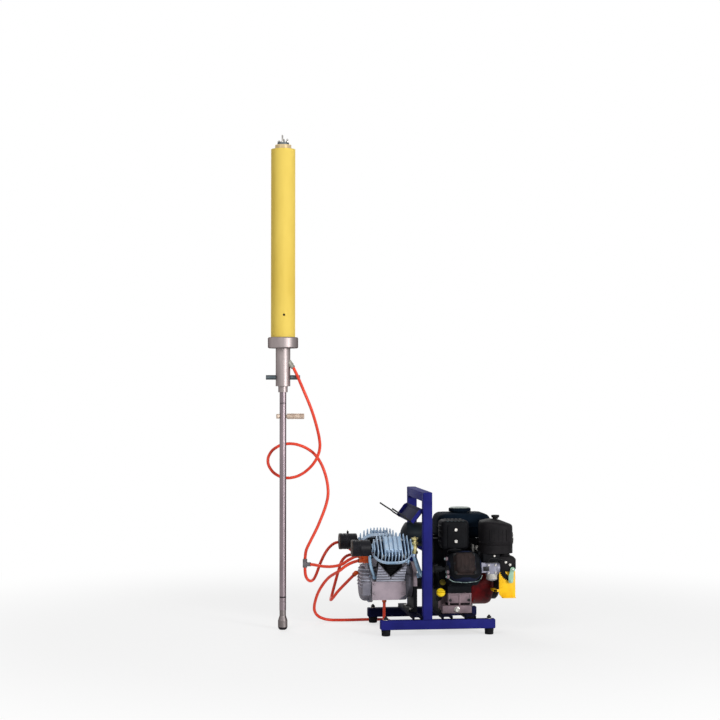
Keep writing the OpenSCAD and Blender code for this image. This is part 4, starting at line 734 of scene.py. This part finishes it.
for z in outlets["front"]:
    pushSocket(bm, crankAt @ move(-224, outletY, z) @ toLeft)
block(bm, (-226, outletY - 9, 65), (-209, outletY + 9, 96), 3.2, 3, crankAt)
pin(bm, 9.4, 6, crankAt @ move(-214, outletY, 60), 0.7, 6, paint=2)
pin(bm, 7, 22, crankAt @ move(-214, outletY, 40), 0.6, paint=2)
drain = crankAt @ move(*outlets["drain"]) @ turn(180, "X")
pin(bm, 9, 5, drain, 0.7, 6, paint=2)
pushSocket(bm, drain, 13)
elbow = crankAt @ move(*outlets["elbow"])
old = set(bm.verts)
bmesh.ops.create_uvsphere(bm, u_segments=24, v_segments=16, radius=7.6)
settle(bm, old, elbow)
pin(bm, 6.4, 9, elbow @ alongX, 0.5)
pushSocket(bm, elbow @ turn(-135, "Y"), 12)
rearOutlet = bankAt(*banks["rearHead"])
block(bm, (-10, 52, 160), (10, 60, 172), 1.4, 2, rearOutlet, 2)
block(bm, (-4, 58.5, 155), (13, 75.5, 181), 3.2, 3, rearOutlet)
for z in outlets["rear"]:
    pushSocket(bm, rearOutlet @ move(-2, 67, z) @ toLeft, 18)
addPiece("pushFittings", bm, ("pushOrange", "boltBlack", "castGrey"), hides="outlet_fittings")
print("compressor done")

# fuel tank with its seam, and the cap
tank = {"at": (115, 45), "size": (180, 146, 26), "neck": (110, 45), "top": 378, "ridges": 36}
bm = bmesh.new()
levels = [(298, 9), (299.4, 4), (302, 1.2), (306, 0), (333, 0), (333.4, -2.2), (335.6, -2.2), (336, 0),
          (352, 0.6), (361, 2.6), (368, 6.4), (373, 12), (376.4, 20), (378, 34)]
stack(bm, *tank["size"], levels, cx=tank["at"][0], cy=tank["at"][1])
turned(bm, [(27.5, 376.5), (27.5, 379), (25, 380.6), (25, 388), (21, 388), (21, 377)], move(*tank["neck"], 0))
addPiece("tankShell", bm, "tankBlack", at=unitAt, hides="fuel_tank")
bm = bmesh.new()
turned(bm, [(27, 3), (35, 3), (36.2, 4.4), (36.2, 12.6), (35.2, 14.4), (33, 15.4), (0, 15.4)])
turned(bm, [(33.6, 15), (32.6, 16.6), (29, 17.6), (14, 18), (0, 18)], paint=1)
ridges(bm, tank["ridges"], (35.6, -1.3, 4), (36.9, 1.3, 13), 0.5)
addPiece("fuelCap", bm, ("tankBlack", "capGrey"), "cap_fuel", unitAt @ move(*tank["neck"], tank["top"]),
         "fuel_cap")

# muffler behind its louvred guard
guard = {"at": (66, -38, 315.5), "size": (90, 95, 14)}
bm = bmesh.new()
face = frontAt(*guard["at"])
stack(bm, *guard["size"], [(0, 3), (3, 0.4), (8, 0), (64, 0), (70, 1), (74, 3.6), (76.4, 8), (77, 13)], face)
stack(bm, 60, 76, 9, [(75, 0), (79, 0), (80.6, 1), (81, 2.6)], face @ move(3, -4, 0))
# inner panel in the teal grey, painted sheen
stack(bm, 36, 52, 8, [(80.4, 0), (79.6, 1.6)], face @ move(3, -4, 0), paint=1)
for k in range(5):  # louvres along the upper edge, in the teal grey: painted sheen
    x = -25 + 12.5 * k
    block(bm, (x - 4.4, 39, 60), (x + 4.4, 45.5, 74), 2, 2, face, 1)
    block(bm, (x - 4.4, 44, 12), (x + 4.4, 49.4, 54), 1.8, 2, face)
for s in ends:
    for k in range(4):
        block(bm, (s * 45 - 2.4, -30 + 17 * k, 14), (s * 45 + 2.4, -21 + 17 * k, 62), 1.8, 2, face)
addPiece("mufflerGuard", bm, ("guardBlack", "guardPaintedSheen"), at=unitAt, hides="muffler")
exhaust = {"at": (62, 46, 146), "radius": 12, "long": 34, "flange": (44, 34, 8)}
bm = bmesh.new()
outAt = slantAt @ move(*exhaust["at"]) @ turn(-90, "X")
pin(bm, exhaust["radius"], exhaust["long"], outAt)
stack(bm, *exhaust["flange"], [(1.5, 0.4), (2.1, 0), (6.5, 0), (7.1, 0.6)], outAt)
addPiece("exhaustElbow", bm, "guardBlack")

# air cleaner cover, its latch and knob
cleaner = {"at": (200.5, -98), "low": 284, "knob": 366, "wide": 107, "round": 40}
lid = {"from": 40, "tilt": 0.0036}  # the lid falls away to the right
bm = bmesh.new()
levels = [(0.3, 1), (1.6, 0), (5.4, 0), (6, -1.4), (9.6, -1.4), (10.2, 0), (59, 0.2), (65, 1), (68.6, 2.8),
          (71.4, 6), (73.4, 11), (76.6, 22), (79.6, 33), (81.4, 42)]
stack(bm, cleaner["wide"], cleaner["wide"], cleaner["round"], levels, steps=12)
for v in bm.verts:
    v.co.z -= lid["tilt"] * v.co.x * max(v.co.z - lid["from"], 0)
block(bm, (52, -9, 8), (57.4, 9, 38), 1.6)
block(bm, (56, -6, 26), (59, 6, 35), 1.2, 2, paint=1)
wire(bm, [(56, -7, 26), (58.6, -7, 14), (57, -7, 3), (57, 7, 3), (58.6, 7, 14), (56, 7, 26)], 1.2, 1)
for k in range(5):  # ribs on the front
    x = -27 + 13.5 * k
    block(bm, (x - 1.4, -53.9, 14), (x + 1.4, -52.8, 50), 0.6, 1)
addPiece("cleanerCover", bm, ("cleanerBlack", "boltZinc"), "cleaner_cover",
         unitAt @ move(*cleaner["at"], cleaner["low"]), "air_cover")
bm = bmesh.new()
turned(bm, [(0, 0), (8.4, 0), (9, 0.6), (9, 4), (11.4, 4.6), (12, 6), (12, 10), (11, 12.2), (8.4, 13),
            (0, 13)], steps=40)
block(bm, (-13, -3, 4.6), (13, 3, 13), 1.6, 3)
addPiece("cleanerKnob", bm, "cleanerBlack", "cleaner_knob", unitAt @ move(*cleaner["at"], cleaner["knob"]),
         "air_knob")
print("tank, muffler and air cleaner done")

# valve cover on a rounded cooling surround
cover = {"at": (88.5, 0, 165), "flange": (70, 74, 10), "body": (62, 66, 14), "ribs": (-12, 0, 12),
         "boltX": (-31, 31), "boltY": (-30, 0, 30)}
bm = bmesh.new()
stack(bm, *cover["flange"], [(0, 0.6), (0.8, 0), (3.4, 0), (4.2, 0.8)])
stack(bm, *cover["body"], [(4, 0), (13, 0.6), (17.4, 2.4), (20, 6), (21.6, 12), (22, 18)])
for x in cover["ribs"]:
    block(bm, (x - 2, -22, 20), (x + 2, 22, 23), 1)
for x in cover["boltX"]:
    for y in cover["boltY"]:
        hexHead(bm, 4.2, 4, move(x, y, 4), 1, 5.4)
addPiece("valveCover", bm, ("valveBrown", "boltBlack"), at=slantAt @ move(*cover["at"]), hides="valve_cover")
head = {"middle": 92, "wide": 108, "deep": 96, "fins": range(91, 133, 8)}
surround = {"size": (116, 104, 44), "lip": 1.4, "nuts": ((-37, 150), (-22, 152), (24, 148))}
bm = bmesh.new()
block(bm, (50, -42, 87), (134, 42, 136), 2)
for z in head["fins"]:
    stack(bm, head["wide"], head["deep"], 12, [(z, 0.5), (z + 0.5, 0), (z + 2.2, 0), (z + 2.7, 0.5)],
          cx=head["middle"], steps=4)
stack(bm, head["wide"], head["deep"], 34, [(132, 0), (150, 0), (157, 3), (162, 9), (165, 17)],
      cx=head["middle"])
addPiece("engineHead", bm, "engineBlack", at=slantAt, hides="engine_cylinder")
bm = bmesh.new()
stack(bm, *surround["size"], [(122, 12), (127, 4), (133, 0.6), (139, 0), (146, 0.6), (152, 3), (157.5, 7.4),
                              (162, 13.6), (164.6, 21), (165.6, 30)], cx=head["middle"], steps=12)
# pale bead along the surround's lower lip: painted highlight
lip = [(33, -8, 138), (34, -30, 139), (46, -46.6, 139), (70, -52.4, 139), (112, -52.4, 139), (138, -46, 139),
       (149, -30, 139)]
wire(bm, lip, surround["lip"], 1)
for y, z in surround["nuts"]:
    pin(bm, 6.4, 8, move(30, y, z) @ alongX, 1.4, 24, paint=2)
    pin(bm, 4.2, 4, move(26.4, y, z) @ alongX, 0.6, 6, paint=1)
addPiece("coolingSurround", bm, ("surroundBlue", "lipPaintedHighlight", "engineGrey"), at=slantAt)

# bare lower castings of the engine
sump = {"ribs": (45.5, 81, 116.5), "padY": 95, "gussets": (24, 71.5, 119)}
bm = bmesh.new()
block(bm, (20.4, -122.8, 63.6), (117.6, -102.4, 88.8), 2.4, 3)
block(bm, (41.4, -102.8, 93.4), (120.6, -62, 127), 2.4, 3)
block(bm, (17.6, -66.6, 72.4), (42, -60, 125), 1.6)
for x in sump["ribs"]:  # down to the foot
    block(bm, (x - 2.5, -105, 88), (x + 2.5, -100, 124), 1.2)
block(bm, (48, -104.6, 120), (114, -101, 125), 1.4)
for s in ends:
    y = s * sump["padY"]
    block(bm, (18.4, y - 8.6, 72), (26, y + 8.6, 84), 1.6)
block(bm, (17.6, 60, 72.4), (125.4, 67.4, 125.6), 2.4, 3)
for x in sump["gussets"]:  # of the rear foot
    block(bm, (x - 2.5, 66, 81), (x + 2.5, 98, 94), 1.2)
addPiece("engineSump", bm, "engineGrey", at=unitAt)

# back of the crankcase: 0 ribs, 1 boss, 2 plug, 3 bolts
backSide = {"ribs": (34, 52, 70, 88, 106), "reach": 78, "from": -18, "to": 62, "steps": 10, "thick": 2.6,
            "boss": (46, 66, 102)}
bm = bmesh.new()
span = backSide["to"] - backSide["from"]
count, reach = backSide["steps"], backSide["reach"]
angles = [math.radians(backSide["from"] + span * k / count) for k in range(count + 1)]
for x in backSide["ribs"]:
    wire(bm, [(x, reach * math.cos(t), crankZ + reach * math.sin(t)) for t in angles], backSide["thick"])
boss = move(*backSide["boss"]) @ toBack
turned(bm, [(0, 0), (15, 0), (14, 9), (13, 10), (0, 10)], boss, 32, paint=1)
turned(bm, [(0, 9), (9.6, 9), (10.4, 10), (10.4, 15), (9, 17), (0, 17.4)], boss, 32, paint=2)
block(bm, (-8.4, -2.2, 16), (8.4, 2.2, 22), 1.4, 2, boss, 2)
hexHead(bm, 7, 6, move(98, 67, 88) @ toBack, 3, 9)
for x in sump["gussets"]:
    hexHead(bm, 4.4, 4, move(x, 67, 118) @ toBack, 3)
addPiece("crankcaseBack", bm, ("engineBlack", "engineGrey", "bootBlack", "boltZinc"), at=unitAt)

# bracket and intake duct between the muffler, the air cleaner and the carburettor
duct = {"bracket": [((148, -37, 236), (177, -30, 299)), ((118, -42, 262), (160, -34, 284)),
                    ((12, 28, 286), (70, 112, 304))],
        "intake": ((150, -143, 229), (208, -100, 258)), "bend": ((138, -120, 214), (156, -80, 262))}
bm = bmesh.new()
for low, high in duct["bracket"]:
    block(bm, low, high, 2)
block(bm, *duct["intake"], 5, 3)
block(bm, *duct["bend"], 4, 3)
addPiece("intakeDuct", bm, "guardBlack", at=unitAt)

# small engine fittings: 0 zinc, 1 black, 2 silver casting, 3 olive plug, 4 pale bowl and tap
fittings = {"drain": (69, -122, 76), "blockX": (50, 112), "blockZ": (104, 156), "tap": (148, -66, 268),
            "bowl": (182, -128, 170), "plug": (29, -76, 160), "screwZ": (220, 196), "screwX": (169, 191)}
bm = bmesh.new()
hexHead(bm, 8, 6, frontAt(*fittings["drain"]), 0, 9.5)
for x in fittings["blockX"]:
    for z in fittings["blockZ"]:
        hexHead(bm, 5, 4, frontAt(x, -102, z), 1)
tap = frontAt(*fittings["tap"])
pin(bm, 8.5, 26, tap @ move(0, 0, -14), 1, 24, paint=4)
pin(bm, 5, 4, tap @ move(0, 0, 12), 0.8, 6, paint=1)
block(bm, (130, -70, 256), (136, -34, 280), 1.2, 2, paint=4)
hexHead(bm, 3.6, 3.4, frontAt(188, -143, 250))
for z in fittings["screwZ"]:  # carburettor screws
    for x in fittings["screwX"]:
        turned(bm, [(0, 2), (1.6, 2), (1.8, 3), (3.2, 2.4), (3.6, 0), (0, 0)], frontAt(x, -145, z), 20)
bowl = move(*fittings["bowl"])
turned(bm, [(0, 0), (12, 0), (15.6, 1.8), (17.4, 5), (17.6, 18), (19, 18.6), (19, 21.4), (17.6, 22), (0, 22)],
       bowl, 40, paint=4)
hexHead(bm, 6, 5, bowl @ turn(180, "X"), 1)
turned(bm, [(0, 0), (15, 0), (18.6, 1), (18.6, 9), (17.6, 10), (0, 10)], move(196, -128, 209) @ alongX, 40,
       paint=2)
block(bm, (160, -147, 226), (200, -131, 231), 1.2, 2, paint=1)
wire(bm, [(168, -141, 231), (172, -143, 239), (196, -143, 241), (216, -141, 236), (228, -140, 232)], 1.3, 1)
block(bm, (152, -147, 202), (170, -144, 216), 1, 2, paint=1)
plug = frontAt(*fittings["plug"])
turned(bm, [(0, 0), (8.6, 0), (9.4, 1), (9.4, 11), (8, 13.4), (0, 14)], plug, 32, paint=3)
block(bm, (-9, -2.4, 12), (9, 2.4, 17), 1.4, 2, plug, 3)
for x, z in ((118, 168), (127, 170)):  # screws on the shroud's lip
    hexHead(bm, 3.4, 3.4, frontAt(x, -104, z))
addPiece("engineFittings", bm, ("boltZinc", "boltBlack", "carbSilver", "plugOlive", "bowlPale"), at=unitAt)
print("engine head done")

# throttle plate with its toothed sector, a thin black sheet on the plate's face: painted shade for the open
# notch
plate = {"front": -130, "thick": 3, "pivot": (248, 205), "teeth": (37, 41), "inner": 24, "from": 188,
         "to": 268, "count": 18}
bm = bmesh.new()
outline = [(206, 124), (216, 112), (260, 112), (260, 198), (206, 198)]
prism(bm, outline, plate["thick"], frontAt(0, plate["front"] + plate["thick"], 0), 0.7)
block(bm, (216, -139, 112), (260, -129, 115), 0.7)
block(bm, (188, -130, 132), (208, -127, 140), 0.7)
block(bm, (188, -130, 132), (200, -79, 140), 0.7)
pivotX, pivotZ = plate["pivot"]


def sectorPoint(k, r, ceiling):
    a = math.radians(plate["from"] + (plate["to"] - plate["from"]) * k / plate["count"])
    return pivotX + r * math.cos(a), min(ceiling, pivotZ + r * math.sin(a))


sector = [sectorPoint(k, plate["teeth"][k % 2], 197) for k in range(plate["count"] + 1)]
sector += [sectorPoint(k, plate["inner"], 197.2) for k in range(plate["count"], -1, -3)]
# black sheet on the plate: painted shade in the notch
prism(bm, sector, 1.8, frontAt(0, plate["front"], 0), 0, paint=1)
addPiece("throttlePlate", bm, ("plateYellow", "guardBlack"), at=unitAt, hides="throttle_plate")

# control box with cut corners, and the throttle lever on it
controls = {"back": -95, "deep": 43, "neck": (226, -114), "blade": 3}
bm = bmesh.new()
outline = [(206, 198), (250, 198), (260, 207), (260, 238), (252, 247), (206, 247)]
prism(bm, outline, controls["deep"], frontAt(0, controls["back"], 0), 1.6, 3)
rim = [(210, 202), (248.6, 202), (256, 208.6), (256, 236.4), (250.4, 243), (210, 243)]
prism(bm, rim, 1.2, frontAt(0, -137.4, 0), 0.5)
pin(bm, 17, 10.6, move(*controls["neck"], 246.4), 0.8, 40)
turned(bm, [(17, 0), (18.8, 0.6), (18.8, 4), (17, 4.6)], move(*controls["neck"], 249), 40)
pin(bm, 3, 8, frontAt(pivotX, -138, pivotZ), 0.5, 24, paint=1)
addPiece("controlBox", bm, ("cleanerBlack", "boltZinc"), at=unitAt, hides="intake_elbow")
bm = bmesh.new()
blade = [(-5.5, 4), (-9, -8), (-13, -22), (-13, -40), (-10, -44), (-1, -44), (2, -41), (4, -14), (5.5, 3)]
prism(bm, blade, controls["blade"], soft=0.7)
turned(bm, [(3.1, 0), (7, 0), (7.6, 0.6), (7.6, 3.6), (7, 4.2), (3.1, 4.2)], steps=32)
pin(bm, 4.6, 3.4, move(-5.5, -37, 2.6), 0.8, 24)
addPiece("throttleLever", bm, "leverGreen", "lever", unitAt @ move(pivotX, -139, pivotZ) @ facingFront,
         "throttle_lever")

# blower shell, starter grip and oil cap
blower = {"x": 125, "lugs": range(20, 380, 60), "vents": range(150, 225, 15)}
starter = {"x": 211, "turn": -45, "out": -35}
oil = {"at": (19, -58, -52), "tilt": 60, "out": 45, "ridges": 20}
bm = bmesh.new()
shell = move(blower["x"], 0, 0) @ alongX
turned(bm, [(70, 0.4), (79.4, 0.4), (80, 1.2), (80, 5), (79, 6.6), (78, 8), (78, 58), (76.4, 66),
            (72.4, 72.6), (66, 76.2), (60, 77), (56, 77)], shell, 72)
for a in blower["lugs"]:
    spot = shell @ turn(a, "Z") @ move(79, 0, 0)
    block(bm, (-6, -7, 0.4), (4, 7, 12), 2, 2, spot)
    hexHead(bm, 4.4, 4, spot @ move(-0.6, 0, 12), 1)
for a in blower["vents"]:
    block(bm, (76.8, -1.6, 14), (79.2, 1.6, 56), 0.8, 2, shell @ turn(a, "Z"))
addPiece("blowerShell", bm, ("blowerRed", "boltBlack"), at=crankAt, hides="blower_housing")
bm = bmesh.new()
pin(bm, 2, 118, move(0, 0, -40), 0)
turned(bm, [(2, 70), (5, 71), (6, 73), (6, 80), (5, 82), (0, 82)], steps=24)
turned(bm, [(0, -35), (5, -35), (7.6, -33.4), (8.8, -29), (8.2, -21), (9, -10), (9.6, 0), (9, 10), (8.2, 21),
            (8.8, 29), (7.6, 33.4), (5, 35), (0, 35)], move(0, 0, 87) @ alongX, 32)
gripAt = crankAt @ move(starter["x"], 0, 0) @ turn(starter["turn"], "X") @ move(0, starter["out"], 0)
addPiece("starterGrip", bm, "cleanerBlack", "grip", gripAt, "starter_grip")
bm = bmesh.new()
turned(bm, [(0, -14), (5.4, -14), (6, -13), (6, 0.2), (12.6, 0.2), (14, 1.6), (14, 7.4), (13, 9.4), (11, 10),
            (0, 10)])
block(bm, (-13, -3, 9), (13, 3, 16), 2, 3)
ridges(bm, oil["ridges"], (13.4, -1, 2), (14.6, 1, 8), 0.4)
oilAt = crankAt @ move(*oil["at"]) @ turn(oil["tilt"], "X")
addPiece("oilCap", bm, "oilYellow", "cap_oil", oilAt @ move(0, 0, oil["out"]), "oil_cap")
print("engine done")

# hammer's top cap with threaded studs
capTop = {"at": 1581, "studs": (15, 8, 24, 13), "ring": 14, "from": 75, "stud": 3.0, "pitch": 1.25}
bm = bmesh.new()
turned(bm, [(0, 0), (26, 0), (27, 1), (27, 13.6), (25.6, 15), (0, 15)], steps=56, paint=2)
turned(bm, [(0, 14.8), (19.6, 14.8), (19.6, 15.4), (19, 16), (19, 21.6), (17.8, 23), (0, 23)], steps=56)
for k, high in enumerate(capTop["studs"]):
    spot = turn(capTop["from"] + 90 * k, "Z") @ move(capTop["ring"], 0, 22)
    hexHead(bm, 5.2, 6, spot, 1)
    rows = int((high - 6) / capTop["pitch"] * 2)
    thread = [(capTop["stud"] - 0.4 * (j % 2), 5.6 + j * capTop["pitch"] / 2) for j in range(rows + 1)]
    turned(bm, [(0, 5.6)] + thread + [(2.2, high), (0, high)], spot, 20, paint=1)
addPiece("topCap", bm, ("barPaintedSkyTeal", "boltZinc", "capCream"), "hammer", probeAt @ move(0, 0, capTop["at"]),
         "top_cap")

# lock pin with its ringed grip
lock = {"at": 700, "rings": 17, "pitch": 3.1, "ridge": 9.5, "groove": 8.7}
bm = bmesh.new()
ridge, groove = lock["ridge"], lock["groove"]
grip = [(5, 13.4), (8.6, 13.2), (ridge, 14.4)]
for k in range(lock["rings"]):
    z = lock["pitch"] * k
    grip += [(ridge, 15 + z), (ridge, 16.6 + z), (groove, 17.1 + z), (groove, 17.6 + z)]
grip += [(ridge, 68.4), (8.4, 70), (0, 70)]
turned(bm, [(0, -22), (6.6, -22), (8, -20.6), (8, -13), (7, -11.6), (5, -11.4), (5, 13.4)], alongX, 32)
turned(bm, grip, alongX, 32)
addPiece("lockPin", bm, "gripTan", "pin", probeAt @ move(0, 0, lock["at"]), "lock_pin")

# crimped hose end on the hammer's nipple
nipple = {"at": 901, "turn": -18, "tip": 139.5}
bm = bmesh.new()
pin(bm, 10.4, 10, move(0, 0, 26), 0.8, 6)
turned(bm, [(6, 43), (7.8, 43), (7.8, 46), (7.2, 46.6), (7.2, 48.4), (7.8, 49), (7.8, 53.2), (7, 54),
            (5.2, 54)], steps=32)
nippleAt = probeAt @ move(0, 0, nipple["at"]) @ turn(nipple["turn"], "Z") @ turn(nipple["tip"], "Y")
addPiece("hoseCrimp", bm, "endGrey", "hammer", nippleAt)

# dark disc behind the hole in the sleeve, painted shade for the hole's depth, and the joint lines of the rod
marks = {"vent": (0, -31.2, 1033), "seams": ((742, 1.8), (104, 5))}
bm = bmesh.new()
pin(bm, 3.9, 3.4, frontAt(*marks["vent"]), 0.3, 24)
addPiece("sleeveHoleShade", bm, "seamDark", "hammer", probeAt)
bm = bmesh.new()
for z, high in marks["seams"]:
    turned(bm, [(10.6, z), (11.15, z + 0.3), (11.15, z + high - 0.3), (10.6, z + high)], steps=40)
addPiece("rodSeams", bm, "seamDark", "rod", probeAt)
print("probe done")

# every part that stays as packed gets its finish
nodeLooks = {
    # the case and end bell take the darkened cast grey, painted shade between the ribs
    "standPaint": ["pedestal"], "castPaintedShade": ["compressor_case", "end_bell"],
    "coverGrey": ["inspection_cover"],
    "barrelBlack": ["cylinders"], "pipeSilver": ["front_piston", "rear_piston"],
    "receiverPaint": ["air_receiver"],
    "shaftSteel": ["crankshafts", "ram"], "bootBlack": ["shaft_coupling", "spark_plug"],
    "flyIron": ["flywheel"],
    "engineBlack": ["engine_block"], "cleanerBlack": ["air_base"], "carbSilver": ["carburettor"],
    "guardBlack": ["recoil_cover"], "sleeveYellow": ["hammer_sleeve"], "barPaintedSkyTeal": ["handle_bars"],
    "hammerSteel": ["hammer_barrel", "anvil_collar", "driver_body", "nose_bush"], "endGrey": ["inlet_nipple"],
    "rodSteel": ["drive_rod"], "tipSteel": ["cone_tip"], "teeGrey": ["hose_tee"],
}
for look, names in nodeLooks.items():
    for name in names:
        nodes[name].data.materials.clear()
        nodes[name].data.materials.append(finishes[look])
print("packed parts finished")

# pale floor that fades into the white surround
studio = {"floor": 14.0, "near": 0.9, "far": 2.2, "least": 0.66, "grey": 0.9, "rough": 0.9, "gloss": 0.1,
          "fill": 0.3}
bm = bmesh.new()
bmesh.ops.create_grid(bm, x_segments=1, y_segments=1, size=studio["floor"])
floorMesh = bpy.data.meshes.new("paleFloor")
bm.to_mesh(floorMesh)
bm.free()
floorLook = bpy.data.materials.new("floorWhite")
floorLook.use_nodes = True
tree = floorLook.node_tree
floorShader = tree.nodes["Principled BSDF"]
floorShader.inputs["Base Color"].default_value = (studio["grey"], studio["grey"], studio["grey"], 1)
floorShader.inputs["Roughness"].default_value = studio["rough"]
floorShader.inputs["Specular IOR Level"].default_value = studio["gloss"]


def seenRays(tree):  # 1 for what the camera, a gloss or a clear part sees
    rays = addNode(tree, "LightPath", {}).outputs
    last = rays["Is Camera Ray"]
    for name in ("Is Glossy Ray", "Is Transmission Ray"):
        last = addNode(tree, "Math", {0: last, 1: rays[name]}, operation="MAXIMUM").outputs["Value"]
    return last


place = addNode(tree, "TexCoord", {}).outputs["Object"]
away = addNode(tree, "VectorMath", {0: place}, operation="LENGTH").outputs["Value"]
span = {"Value": away, "From Min": studio["near"], "From Max": studio["far"], "To Min": studio["least"]}
fade = addNode(tree, "MapRange", span, interpolation_type="SMOOTHSTEP").outputs["Result"]
both = addNode(tree, "Math", {0: fade, 1: seenRays(tree)}, operation="MULTIPLY").outputs["Value"]
glow = addNode(tree, "Emission", {}).outputs["Emission"]
blendIn = addNode(tree, "MixShader", {"Fac": both, 1: floorShader.outputs["BSDF"], 2: glow})
tree.links.new(blendIn.outputs["Shader"], tree.nodes["Material Output"].inputs["Surface"])
floorMesh.materials.append(floorLook)
floor = addObject("paleFloor", floorMesh)
world = bpy.data.worlds.new("studio")
scene.world = world
world.use_nodes = True
tree = world.node_tree
shine = tree.nodes["Background"]
shine.inputs["Color"].default_value = (1, 1, 1, 1)
level = addNode(tree, "MapRange", {"Value": seenRays(tree), "To Min": studio["fill"], "To Max": 1.0})
tree.links.new(level.outputs["Result"], shine.inputs["Strength"])
lamps = {
    "keyLamp": {"place": (2.7, -4.3, 1.25), "aim": (0, 0, 0.7), "size": 1.5, "power": 186},
    "fillLamp": {"place": (-2.2, -3.0, 3.4), "aim": (0, 0, 0.6), "size": 2.6, "power": 56},
    "backLamp": {"place": (-0.6, 3.4, 3.0), "aim": (0, 0, 0.7), "size": 2.6, "power": 60},
}
for name, lamp in lamps.items():
    data = bpy.data.lights.new(name, "AREA")
    data.shape = "DISK"
    data.size = lamp["size"]
    data.energy = lamp["power"]
    light = addObject(name, data)
    light.location = lamp["place"]
    light.rotation_euler = (Vector(lamp["aim"]) - Vector(lamp["place"])).to_track_quat("-Z", "Y").to_euler()
print("studio set")
